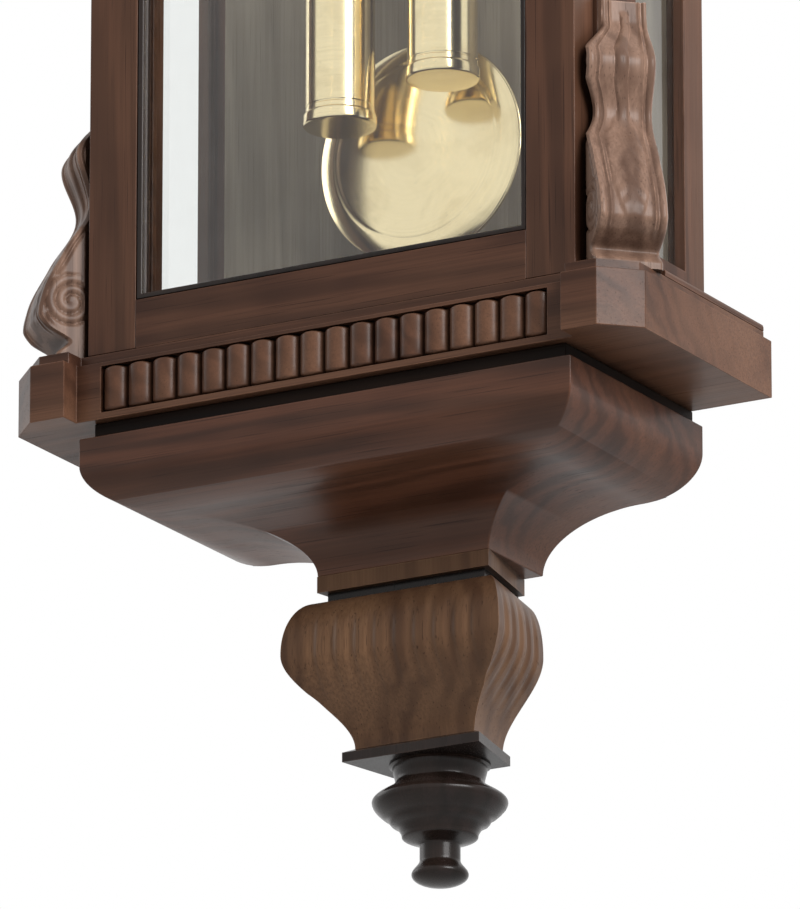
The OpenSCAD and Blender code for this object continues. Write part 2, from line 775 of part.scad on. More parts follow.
// How high the catch's corner passes through the side frame's inner face as it turns
catch_sweep = sqrt(pow(catch_long, 2) + pow(catch_half, 2) - pow(inner_half - latch_x, 2));

// The knob, its spindle and the catch inside the case, shown turned upright, unlatched.
module door_knob() color("#c9a548") placed() translate([-latch_x, 0, latch_h]) {
    translate([0, -door_front - loose, 0]) rotate([90, 0, 0]) rotate_extrude()
        polygon(concat([[0, 0], [door_knob_r * 0.8, 0]],
            swept([[2, door_knob_r * 0.8], [6, door_knob_r * 0.45], [14, door_knob_r],
                   [19, door_knob_r * 0.6]], 5), [[0, 20]]));
    bar_y(0, 0, spindle_r, door_back - catch_near - catch_t, door_front + loose + 2);
    box([-catch_half, -door_back + catch_near, -catch_half],
        [catch_half, -door_back + catch_near + catch_t, catch_long]);
}

// The scale behind the bob's pointer: a strip on two short posts, with raised ticks.
scale_h = bob_h - bob_r - 34;
scale_half = 52;
scale_r = 300;
scale_w = 14;
scale_y = 38;

module beat_scale() color("#d9d2bd") placed() {
    plate_y(scale_y - 2, scale_y) difference() {
        translate([0, scale_h + scale_r]) circle(r = scale_r, $fn = 200);
        translate([0, scale_h + scale_r + scale_w]) circle(r = scale_r, $fn = 200);
        translate([-far, scale_h + 30]) square([2 * far, far]);
        both_sides() translate([scale_half, -far]) square([far, 3 * far]);
    }
    for (i = [-8:8]) translate([0, 0, scale_h + scale_r]) rotate([0, i * 1.1, 0])
        box([-0.4, -scale_y - 0.5, 1 - scale_r],
            [0.4, -scale_y + eps, (i % 4 == 0 ? 10 : 6) - scale_r]);
    both_sides() bar_y(scale_half - 12, scale_h + 9, 2.5, back_t, scale_y - 1);
}

// Movement

arm_x = 66;
arm_w = 10;
bar_near = drum_y - 6;
bar_away = drum_y + 6;

// The bracket: a flange on the backboard, two arms under the plates and the line bar.
module movement_bracket() color("#8a8378") placed() difference() {
    union() {
        box([-arm_x - arm_w / 2, -back_t - 5, bracket_low - 14],
            [arm_x + arm_w / 2, -back_t, bracket_high]);
        both_sides() box([arm_x - arm_w / 2, -plate_front_y - plate_t - 3, bracket_low],
                         [arm_x + arm_w / 2, -back_t - 5 + eps, bracket_high]);
        box([-arm_x, -bar_away, bracket_low], [arm_x, -bar_near, bracket_high - 2]);
        both_sides() translate([weight_x - fall_x, -drum_y, bracket_low - 5])
            cylinder(r = 2.5, h = 6, $fn = 24);
    }
    both_sides() translate([weight_x + fall_x, -drum_y, bracket_low - eps])
        cylinder(r = line_r + 2, h = bracket_high - bracket_low + 2 * eps);
}

pivot_r = 1.2;
post_up = 9.5;

// A movement plate between two distances from the wall, with a list of holes [x, z, radius].
module movement_plate(near, away, holes) plate_y(near, away) difference() {
    translate([-plate_half, bracket_high])
        square([2 * plate_half, plate_top - bracket_high]);
    for (h = holes) translate([h[0], dial_h + h[1]]) circle(r = h[2]);
}

hammer_x = 51;
hammer_z = -43;

back_holes = [[drum_x, -drum_drop, pivot_r + run], [-drum_x, -drum_drop, pivot_r + run],
              [0, 0, pivot_r + run], [third_x, third_up, pivot_r + run],
              [0, escape_up, pivot_r + run], [0, anchor_up, pivot_r + 0.5 + run],
              [-hammer_x, hammer_z, pivot_r + run]];
winding_r = 3.5;
centre_r = 2;
front_holes = [[drum_x, -drum_drop, winding_r + run], [-drum_x, -drum_drop, winding_r + run],
               [0, 0, centre_r + run], [third_x, third_up, pivot_r + run],
               [0, escape_up, pivot_r + run], [0, anchor_up, pivot_r + run],
               [-hammer_x, hammer_z, pivot_r + run]];
post_r = 1.2;

module back_plate() color("#d2b05a") placed()
    movement_plate(plate_back_y - plate_t, plate_back_y, back_holes);

// The front plate carries the post that the minute wheel turns on.
module front_plate() color("#d2b05a") placed() {
    movement_plate(plate_front_y, plate_front_y + plate_t, front_holes);
    bar_y(0, dial_h - motion_dist, post_r, plate_front_y + plate_t - eps,
          plate_front_y + plate_t + post_up);
}

module plate_pillars() color("#c9a548") placed()
    for (x = [-plate_half + 6, plate_half - 6], z = [bracket_high + 5, plate_top - 6])
        translate([x, -plate_back_y, z]) rotate([90, 0, 0]) rotate_extrude($fn = 40)
            polygon([[0, 0], [4, 0], [4, 4], [2.8, 8], [3.6, plate_gap / 2],
                     [2.8, plate_gap - 8], [4, plate_gap - 4], [4, plate_gap], [0, plate_gap]]);

chop_pin_r = 1.5;
chop_t = 3.4;
cheek_t = 3.4;

// The cock on the backboard whose two cheeks carry the pendulum's suspension pin.
module suspension_cock() color("#c9a548") placed() difference() {
    union() {
        box([-16, -back_t - 4, axis_h - 20], [16, -back_t, axis_h + 22]);
        box([-7, -pend_y - chop_t / 2 - loose - cheek_t, axis_h + 6],
            [7, -back_t - 4 + eps, axis_h + 15]);
        for (y = [-pend_y - chop_t / 2 - loose - cheek_t, -pend_y + chop_t / 2 + loose])
            box([-6, y, axis_h - 6], [6, y + cheek_t, axis_h + 6 + eps]);
    }
    bar_y(0, axis_h, chop_pin_r + run, back_t + 5, pend_y + 10);
}

// Gear turns are chosen so that a tooth of one wheel stands in a gap of its neighbour.
line_a = atan2(drum_drop, drum_x);
third_a = atan2(third_up, third_x);
escape_a = atan2(escape_up - third_up, -third_x);

wheel_layer_y = plate_back_y + 4.5;
third_layer_y = plate_back_y + 15;
escape_layer_y = plate_front_y - 11;
great_layer_y = plate_front_y - 7;

function gear_turn(teeth, angle, in_gap) = angle + (in_gap ? 180 / teeth : 0);

module centre_wheel() color("#d2b05a") placed() translate([0, 0, dial_h]) {
    bar_y(0, 0, pivot_r, plate_back_y - plate_t, plate_back_y + 2);
    bar_y(0, 0, centre_r, plate_back_y + 1, minute_y + 3);
    plate_y(wheel_layer_y, wheel_layer_y + 1.6)
        wheel(centre_teeth, centre_module, gear_turn(centre_teeth, third_a, false),
              5, 2.2, 4, centre_r - 0.2);
    plate_y(great_layer_y - 1.5, great_layer_y + 4)
        toothed(centre_leaves, great_module, gear_turn(centre_leaves, -line_a, true));
    plate_y(cannon_y, cannon_y + 3)
        toothed(cannon_leaves, cannon_module, gear_turn(cannon_leaves, -90, true));
    bar_y(0, 0, cannon_r, cannon_y + 2.5, minute_y);
}

cannon_y = plate_front_y + plate_t + 1.5;
cannon_r = 2.9;
pipe_y = cannon_y + 4;
pipe_r = 4.2;
hour_y = dial_y + dial_t + 2;
minute_y = hour_y + 6;
hand_t = 1.4;

module third_wheel() color("#d2b05a") placed() translate([third_x, 0, dial_h + third_up]) {
    bar_y(0, 0, pivot_r, plate_back_y - plate_t, plate_front_y + plate_t);
    plate_y(wheel_layer_y - 1, wheel_layer_y + 5)
        toothed(fast_leaves, centre_module, gear_turn(fast_leaves, third_a + 180, true));
    plate_y(third_layer_y, third_layer_y + 1.4)
        wheel(third_teeth, third_module, gear_turn(third_teeth, escape_a, false),
              5, 1.8, 3.4, pivot_r - 0.2);
}

module escape_wheel() color("#d2b05a") placed() translate([0, 0, dial_h + escape_up]) {
    bar_y(0, 0, pivot_r, plate_back_y - plate_t, plate_front_y + plate_t);
    plate_y(third_layer_y - 1, third_layer_y + 4)
        toothed(fast_leaves, third_module, gear_turn(fast_leaves, escape_a + 180, true));
    plate_y(escape_layer_y, escape_layer_y + 1.4) difference() {
        union() {
            circle(r = escape_r - 2.6);
            for (i = [0:escape_teeth - 1]) rotate(360 * i / escape_teeth)
                polygon([[escape_r - 3, -0.9], [escape_r, 0.5], [escape_r, 0.8],
                         [escape_r - 3, 0.7]]);
        }
        for (i = [0:4]) rotate(72 * i) translate([escape_r * 0.5, 0]) circle(r = 2.6);
    }
}

crutch_y = plate_back_y - plate_t - 8;
crutch_l = 95;
crutch_pin_r = 1;
pallet_gap = 1.4;

// The anchor over the escape wheel, its arbor, and the crutch whose pin drives the rod.
module anchor() color("#8f8a80") placed() {
    translate([0, 0, axis_h]) {
        bar_y(0, 0, pivot_r, plate_front_y - 2, plate_front_y + plate_t);
        bar_y(0, 0, pivot_r + 0.5, crutch_y - 1, plate_front_y - 1.5);
        bar_y(0, 0, 4, crutch_y - 1, crutch_y + 3);
        box([-1.5, -crutch_y - 2, -crutch_l], [1.5, -crutch_y, 0]);
        bar_y(0, -crutch_l + 2, crutch_pin_r, pend_y - rod_t / 2 - 3, crutch_y + 2);
    }
    plate_y(escape_layer_y - 0.5, escape_layer_y + 2) difference() {
        translate([0, axis_h]) {
            circle(r = 4);
            both_sides() polygon([[0, 3.4], [3.4, 1.5], [escape_r * 0.98, -escape_r * 0.5],
                [escape_r * 0.94, -escape_r * 0.92], [escape_r * 0.72, -escape_r * 0.62],
                [2, -3.6], [0, -3.8]]);
        }
        translate([0, dial_h + escape_up]) circle(r = escape_r + pallet_gap);
    }
}

minute_wheel_play = 0.05;

module minute_wheel() color("#d2b05a") placed()
    translate([0, 0, dial_h - motion_dist]) difference() {
        union() {
            plate_y(cannon_y + 0.5, cannon_y + 2.3)
                toothed(minute_teeth, cannon_module, gear_turn(minute_teeth, 90, false));
            plate_y(cannon_y + 2, cannon_y + 7)
                toothed(minute_leaves, hour_module, gear_turn(minute_leaves, 90, true));
        }
        bar_y(0, 0, post_r + minute_wheel_play, plate_front_y, dial_y);
    }

module hour_wheel() color("#d2b05a") placed() translate([0, 0, dial_h]) difference() {
    union() {
        plate_y(pipe_y + 0.8, pipe_y + 2.4)
            toothed(hour_teeth, hour_module, gear_turn(hour_teeth, -90, false));
        bar_y(0, 0, pipe_r, pipe_y + 0.8, hour_y + hand_t);
    }
    bar_y(0, 0, cannon_r + run, pipe_y, minute_y);
}

great_bore = winding_r + run;

module great_wheel_time() color("#d2b05a") placed() translate([drum_x, 0, drum_h])
    plate_y(great_layer_y, great_layer_y + 2.2)
        wheel(great_teeth, great_module, gear_turn(great_teeth, 180 - line_a, false),
              6, 3, 8, great_bore);

drum_near = plate_back_y + 8;
drum_away = great_layer_y - 2;
square_w = 5.6;

// A drum on its winding arbor, with a flange at each end and the square for the key.
module drum() {
    bar_y(0, 0, pivot_r, plate_back_y - plate_t, plate_back_y + 3);
    bar_y(0, 0, winding_r, plate_back_y + 2, plate_front_y + plate_t + 1);
    bar_y(0, 0, drum_r, drum_near, drum_away);
    for (y = [drum_near, drum_away - 1.4]) bar_y(0, 0, drum_r + 2.2, y, y + 1.4);
    box([-square_w / 2, -dial_y - dial_t, -square_w / 2],
        [square_w / 2, -plate_front_y - plate_t, square_w / 2]);
}

module drum_time() color("#d2b05a") placed() translate([drum_x, 0, drum_h]) drum();

strike_teeth = 84;

// The strike drum carries its own, smaller great wheel.
module drum_strike() color("#d2b05a") placed() translate([-drum_x, 0, drum_h]) {
    drum();
    plate_y(drum_away + 0.6, drum_away + 2.8)
        wheel(strike_teeth, great_module, 0, 6, 3, 8, winding_r - 0.2);
}

// Dial and hands

module dial() color("#f2efe6") placed() {
    difference() {
        bar_y(0, dial_h, dial_r, dial_y, dial_y + dial_t);
        bar_y(0, dial_h, pipe_r + 1.3, dial_y - eps, dial_y + dial_t + eps);
        both_sides() bar_y(drum_x, drum_h, square_w * 0.5 * sqrt(2) + 1, dial_y - eps,
                           dial_y + dial_t + eps);
    }
    for (p = [[-58, -38], [58, -38], [0, 62]])
        bar_y(p[0], dial_h + p[1], 2.5, plate_front_y + plate_t, dial_y + eps);
}

bezel_in = 5;

module dial_bezel() color("#d6ad4c") placed() translate([0, -dial_y, dial_h])
    rotate([90, 0, 0]) rotate_extrude($fn = 128) polygon(concat(
        [[dial_r, 0], [bezel_r, 0]],
        quarter([dial_r + bezel_in, 3], [bezel_r - dial_r - bezel_in, 8], 0, 90, 6),
        [[dial_r - bezel_in + 2, dial_t + 3], [dial_r - bezel_in, dial_t],
         [dial_r, dial_t]]));

// A hand of length l from its hub upwards, turned by angle a, as a flat outline.
module hand(l, hub_r, bore_r, w, a) rotate(a) difference() {
    union() {
        circle(r = hub_r);
        polygon([[w * 0.3, -l * 0.16], [w * 0.4, 0], [w * 0.3, l * 0.6], [w, l * 0.72],
                 [w * 0.25, l * 0.84], [0, l], [-w * 0.25, l * 0.84], [-w, l * 0.72],
                 [-w * 0.3, l * 0.6], [-w * 0.4, 0], [-w * 0.3, -l * 0.16]]);
    }
    circle(r = bore_r);
}

// The hands stand at ten minutes past ten.
minute_a = -60;
hour_a = 55;

module hour_hand() color("#1d1a18") placed() translate([0, 0, dial_h])
    plate_y(hour_y, hour_y + hand_t) hand(hour_l, 7.5, pipe_r, 4.5, hour_a);

module minute_hand() color("#1d1a18") placed() translate([0, 0, dial_h])
    plate_y(minute_y, minute_y + hand_t) hand(minute_l, 6, centre_r, 3.6, minute_a);

// Strike

gong_y = back_t + 10;
gong_pitch = (gong_r - gong_inner_r) / gong_turns;
gong_steps = 24;
gong_end = 2 * gong_wire_r * 1.2;
gong_sides = 6;
gong_block_w = 14;
gong_block_h = 12;
gong_block_t = 5;

// Points of the gong's spiral from its inner end to the straight stub in its block.
gong_path = concat(
    [for (i = [0:gong_turns * gong_steps])
        let (a = -90 + 360 * i / gong_steps, r = gong_inner_r + gong_pitch * i / gong_steps)
            [r * cos(a), 0, r * sin(a)]],
    [[gong_end, 0, -gong_r]]);

// Rings of six points about each point of a flat path in X and Z.
function ring_at(path, i, r) =
    let (a = path[max(i - 1, 0)], b = path[min(i + 1, len(path) - 1)],
         d = (b - a) / norm(b - a), side = [-d[2], 0, d[0]])
    [for (k = [0:gong_sides - 1]) let (t = 360 * k / gong_sides)
        path[i] + r * (side * cos(t) + [0, 1, 0] * sin(t))];

module tube(path, r) {
    n = len(path);
    points = [for (i = [0:n - 1]) each ring_at(path, i, r)];
    walls = [for (i = [0:n - 2]) for (k = [0:gong_sides - 1])
        let (a = i * gong_sides + k, b = i * gong_sides + (k + 1) % gong_sides,
             c = b + gong_sides, d = a + gong_sides)
        each [[a, b, c], [a, c, d]]];
    first = [for (k = [1:gong_sides - 2]) [0, k + 1, k]];
    m = (n - 1) * gong_sides;
    last = [for (k = [1:gong_sides - 2]) [m, m + k, m + k + 1]];
    polyhedron(points = points, faces = concat(walls, first, last));
}

gong_gap = min([for (i = [gong_steps:len(gong_path) - 2])
    norm(gong_path[i] - gong_path[i - gong_steps]) - 2 * gong_wire_r]);
echo(gong_least_gap_to_itself_mm = gong_gap);

// The coil gong with the brass block that holds its outer end on the backboard.
module gong() color("#6f6a64") placed() translate([0, -gong_y, gong_h]) {
    tube(gong_path, gong_wire_r);
    box([gong_end - 0.2, -gong_block_t, -gong_r - gong_block_h / 2],
        [gong_end + gong_block_w, gong_y - back_t, -gong_r + gong_block_h / 2]);
}

hammer_head_r = 4.5;
hammer_head_l = 20;
hammer_gap = 1.2;

// The hammer: an arbor between the plates, an arm behind them and the head beside the gong.
module hammer() color("#8f8a80") placed() {
    head_face = gong_r - gong_pitch / 4 + gong_wire_r + hammer_gap;
    drop = dial_h + hammer_z - gong_h;
    translate([-hammer_x, 0, dial_h + hammer_z]) {
        bar_y(0, 0, pivot_r, gong_y - 2, plate_front_y + plate_t);
        bar_y(0, 0, 4, gong_y - 2, gong_y + 4);
        box([-1.5, -gong_y - 1.5, -drop + 2], [1.5, -gong_y + 1.5, 0]);
    }
    translate([-head_face, -gong_y, gong_h]) rotate([0, -90, 0])
        cylinder(r = hammer_head_r, h = hammer_head_l);
}

// Pendulum

chops_h = 12;
strip_h = 20;
rod_top = axis_h - chops_h / 2 - strip_h - chops_h;

// The suspension: the upper chops with their pin, the steel strip and the lower chops.
module suspension_spring() color("#b9b4a8") placed() translate([0, -pend_y, axis_h]) {
    box([-5, -chop_t / 2, -chops_h / 2], [5, chop_t / 2, chops_h / 2 - 1.5]);
    bar_y(0, 0, chop_pin_r, -chop_t / 2 - loose - cheek_t, chop_t / 2 + loose + cheek_t);
    box([-4, -0.3, -chops_h / 2 - strip_h], [4, 0.3, -chops_h / 2]);
    box([-5, -chop_t / 2, -chops_h / 2 - strip_h - chops_h],
        [5, chop_t / 2, -chops_h / 2 - strip_h]);
}

stud_r = 2.5;
rod_low = bob_h - bob_r - 2;
pointer_low = scale_h + 15;

// The rod: a flat wooden strip, slotted for the crutch's pin, and its brass foot and pointer.
module pendulum_rod() color("#5b4030") placed() difference() {
    translate([0, -pend_y, 0]) {
        box([-rod_w / 2, -rod_t / 2, rod_low], [rod_w / 2, rod_t / 2, rod_top]);
        translate([0, 0, pointer_low + 8]) cylinder(r = stud_r, h = rod_low - pointer_low - 7);
        translate([0, 0, pointer_low]) cylinder(r1 = 0.4, r2 = stud_r, h = 8);
    }
    bar_y(0, axis_h - crutch_l + 2, crutch_pin_r + loose, pend_y - 20, pend_y + 20);
}

bob_rim = 4;

// The lens-shaped bob, with the channel that the rod passes through.
module bob() color("#e0b853") placed() difference() {
    translate([0, -pend_y, bob_h]) rotate([90, 0, 0]) rotate_extrude($fn = 128)
        polygon([for (p = concat(
            [[0, -bob_t / 2]],
            [for (i = [1:10]) let (x = bob_r * i / 10)
                [x, -bob_rim / 2 - (bob_t - bob_rim) / 2 * (1 - pow(i / 10, 2))]],
            [for (i = [10:-1:1]) let (x = bob_r * i / 10)
                [x, bob_rim / 2 + (bob_t - bob_rim) / 2 * (1 - pow(i / 10, 2))]],
            [[0, bob_t / 2]])) p]);
    translate([0, -pend_y, bob_h]) box([-rod_w / 2 - 0.1, -rod_t / 2 - 0.1, -bob_r - 1],
                                       [rod_w / 2 + 0.1, rod_t / 2 + 0.1, bob_r + 1]);
}

nut_r = 9;
nut_h = 7;

module rating_nut() color("#c9a548") placed() difference() {
    translate([0, -pend_y, rod_low - nut_h - loose]) linear_extrude(nut_h) difference() {
        circle(r = nut_r);
        for (i = [0:19]) rotate(18 * i) translate([nut_r + 0.6, 0]) circle(r = 1, $fn = 16);
    }
    translate([0, -pend_y, pointer_low]) cylinder(r = stud_r + run, h = 80);
}

// Weights and pulleys

sheave_pin_r = 2;
sheave_w = 7;
sheave_r = pulley_r + 3.5;
fork_t = 1.6;
fork_y = sheave_w / 2 + 0.4;

// A weight with its underside at height 0: shell, rim, crown, hook and the pulley's fork.
module weight() {
    axle = weight_l + sheave_up;
    rotate_extrude($fn = 96) polygon(concat(
        [[0, 0], [weight_r + shell_rim - 1, 0], [weight_r + shell_rim, 1.5],
         [weight_r + shell_rim, 8], [weight_r, 9.5], [weight_r, weight_l - 9.5],
         [weight_r + shell_rim, weight_l - 8], [weight_r + shell_rim, weight_l - 3]],
        quarter([0, weight_l - 3], [weight_r + shell_rim - 2, 6], 10, 86, 6),
        [[0, weight_l + 3]]));
    translate([0, 0, weight_l + 2]) cylinder(r = 3, h = axle - sheave_r - 6 - weight_l);
    box([-5, -fork_y - fork_t, axle - sheave_r - 7], [5, fork_y + fork_t, axle - sheave_r - 3]);
    for (y = [-fork_y - fork_t, fork_y])
        box([-4, y, axle - sheave_r - 4], [4, y + fork_t, axle + 6]);
    translate([0, fork_y + fork_t, axle]) rotate([90, 0, 0])
        cylinder(r = sheave_pin_r, h = 2 * (fork_y + fork_t));
}

module weight_left() color("#e0b853") placed()
    translate([-weight_x, -drum_y, weight_left_h]) weight();

module weight_right() color("#e0b853") placed()
    translate([weight_x, -drum_y, weight_right_h]) weight();

// A pulley wheel with a groove for the line.
module pulley() difference() {
    translate([0, sheave_w / 2, 0]) rotate([90, 0, 0]) rotate_extrude($fn = 72)
        polygon([[0, 0], [sheave_r, 0], [sheave_r, 1], [pulley_r, 2.2],
                 [pulley_r, sheave_w - 2.2], [sheave_r, sheave_w - 1], [sheave_r, sheave_w],
                 [0, sheave_w]]);
    translate([0, sheave_w, 0]) rotate([90, 0, 0])
        cylinder(r = sheave_pin_r + run, h = 2 * sheave_w);
}

module pulley_left() color("#c9a548") placed()
    translate([-weight_x, -drum_y, weight_left_h + weight_l + sheave_up]) pulley();

module pulley_right() color("#c9a548") placed()
    translate([weight_x, -drum_y, weight_right_h + weight_l + sheave_up]) pulley();

// The line: down from the drum, half round under the pulley and up to the bar's eye.
module line(low) {
    axle = low + weight_l + sheave_up;
    translate([weight_x, -drum_y, 0]) {
        translate([fall_x, 0, axle]) cylinder(r = line_r, h = drum_h - axle, $fn = 16);
        translate([-fall_x, 0, axle]) cylinder(r = line_r, h = bracket_low - 5 - axle, $fn = 16);
        translate([0, 0, axle]) rotate([-90, 0, 0]) rotate_extrude(angle = 180, $fn = 64)
            translate([fall_x, 0]) circle(r = line_r, $fn = 16);
    }
}

module line_left() color("#b08d5a") placed() mirror([1, 0, 0]) line(weight_left_h);

module line_right() color("#b08d5a") placed() line(weight_right_h);

backboard();
hanger_plate();
steady_screws();
top_board();
side_frame_left();
side_frame_right();
side_glasses();
plinth_slab();
reeded_fascia();
side_skirts();
ogee_base();
pendant_block();
end_finial();
console_left();
console_right();
upper_consoles();
cornice();
pediment();
top_finials();
case_hinge_leaves();
beat_scale();
door_stile_left();
door_stile_right();
door_rail_top();
door_rail_bottom();
door_glass();
glass_beads();
door_hinge_leaves();
door_knob();
movement_bracket();
back_plate();
front_plate();
plate_pillars();
suspension_cock();
dial();
dial_bezel();
hour_hand();
minute_hand();
hour_wheel();
minute_wheel();
centre_wheel();
third_wheel();
escape_wheel();
anchor();
great_wheel_time();
drum_time();
drum_strike();
hammer();
gong();
suspension_spring();
pendulum_rod();
bob();
rating_nut();
weight_left();
weight_right();
pulley_left();
pulley_right();
line_left();
line_right();
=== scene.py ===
"""Finished surfaces of a wall regulator clock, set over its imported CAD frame.

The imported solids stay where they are. Mouldings, carvings, turned parts, weights, dial and
lines are worked out here as numpy surfaces and ride on the same bodies. Lengths in the classes
are millimetres: x to the right, y towards the wall, and s, the height above the underside of
the plinth slab. They become metres in the frame when a mesh is made.
"""

import logging
import math
from dataclasses import dataclass, field
from enum import Enum

import bmesh
import bpy
import numpy as np
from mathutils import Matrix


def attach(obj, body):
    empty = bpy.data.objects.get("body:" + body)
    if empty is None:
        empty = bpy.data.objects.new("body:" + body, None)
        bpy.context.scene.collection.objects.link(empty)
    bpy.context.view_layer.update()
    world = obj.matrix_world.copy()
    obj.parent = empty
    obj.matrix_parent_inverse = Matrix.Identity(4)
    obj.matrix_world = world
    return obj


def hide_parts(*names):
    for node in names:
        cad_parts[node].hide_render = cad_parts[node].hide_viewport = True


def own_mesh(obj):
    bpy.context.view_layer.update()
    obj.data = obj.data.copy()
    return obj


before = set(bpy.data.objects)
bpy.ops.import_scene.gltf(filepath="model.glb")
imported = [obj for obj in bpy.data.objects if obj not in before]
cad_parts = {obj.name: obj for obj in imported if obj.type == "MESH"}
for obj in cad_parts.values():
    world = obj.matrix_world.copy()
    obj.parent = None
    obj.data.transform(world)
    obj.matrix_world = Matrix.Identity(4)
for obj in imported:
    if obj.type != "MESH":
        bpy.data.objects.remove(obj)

log = logging.getLogger("regulator")

Colour = tuple[float, float, float]
Point = tuple[float, float, float]
Pair = tuple[float, float]
Socket = bpy.types.NodeSocket
Material = bpy.types.Material

HANG = 995.0  # Height s of the hanging hole, which is the frame's origin
MM = 0.001
DIAL_S = 745.0  # Height s of the dial's middle
BOB_S = 209.0  # Height s of the bob's middle
DROP_X, DROP_Y = 42.0, -95.0  # Where the weights and their lines hang, on either side
BENT = 38.0  # Edges sharper than this many degrees are rounded
SMALL = 0.1  # Radius that closes a turning at its axis


# Shading: a recipe lays out the nodes of one material


class Nodes:
    """Lays nodes in one tree, with short calls for the node kinds in use."""

    def __init__(self, tree: bpy.types.NodeTree) -> None:
        """Takes up a tree.

        Args:
            tree: The node tree of a material or of the world.
        """
        self.tree = tree

    def put(self, socket: Socket, value: object) -> None:
        """Links a socket to another socket, or sets its constant.

        Args:
            socket: The input to feed.
            value: An output socket, a number, a colour or a vector.
        """
        if isinstance(value, Socket):
            self.tree.links.new(value, socket)
        elif socket.type == "RGBA" and len(value) == 3:
            socket.default_value = (*value, 1.0)
        else:
            socket.default_value = value

    def node(self, kind: str, settings: dict[str, object], **inputs: object) -> bpy.types.Node:
        """Adds a node.

        Args:
            kind: Blender's name of the node type.
            settings: Properties of the node itself.
            **inputs: Sockets by name, with underscores for spaces.

        Returns:
            The new node.
        """
        new = self.tree.nodes.new(kind)
        for key, value in settings.items():
            setattr(new, key, value)
        for key, value in inputs.items():
            self.put(new.inputs[key.replace("_", " ")], value)
        return new

    def fed(self, kind: str, settings: dict[str, object], *values: object) -> bpy.types.Node:
        """Adds a node whose inputs are fed in their order.

        Args:
            kind: Blender's name of the node type.
            settings: Properties of the node itself.
            *values: What its first inputs get.

        Returns:
            The new node.
        """
        new = self.node(kind, settings)
        for socket, value in zip(new.inputs, values):
            self.put(socket, value)
        return new

    def vector(self, kind: str, *values: object) -> bpy.types.Node:
        """One arithmetic step on vectors.

        Args:
            kind: The Vector Math node's operation.
            *values: Vectors or sockets.

        Returns:
            The node, whose output depends on the operation.
        """
        return self.fed("ShaderNodeVectorMath", {"operation": kind}, *values)

    def sums(self, kind: str, *values: object) -> Socket:
        """One arithmetic step on numbers.

        Args:
            kind: The Math node's operation.
            *values: Numbers or sockets.

        Returns:
            The result.
        """
        return self.fed("ShaderNodeMath", {"operation": kind}, *values).outputs[0]

    def ramp(self, value: Socket, low: float, high: float,
             to_low: float = 0.0, to_high: float = 1.0) -> Socket:
        """Maps the span low..high smoothly on to_low..to_high.

        Args:
            value: The number to map.
            low: Start of its span.
            high: End of its span.
            to_low: Result at the start.
            to_high: Result at the end.

        Returns:
            The mapped value.
        """
        return self.fed("ShaderNodeMapRange", {"interpolation_type": "SMOOTHSTEP"},
                        value, low, high, to_low, to_high).outputs[0]

    def seen_rays(self) -> Socket:
        """Tells the rays that are seen from those that light things.

        Returns:
            1 for camera, mirror and glass rays, and 0 for the rest.
        """
        path = self.node("ShaderNodeLightPath", {}).outputs
        shiny = self.sums("MAXIMUM", path["Is Glossy Ray"], path["Is Transmission Ray"])
        return self.sums("MAXIMUM", path["Is Camera Ray"], shiny)


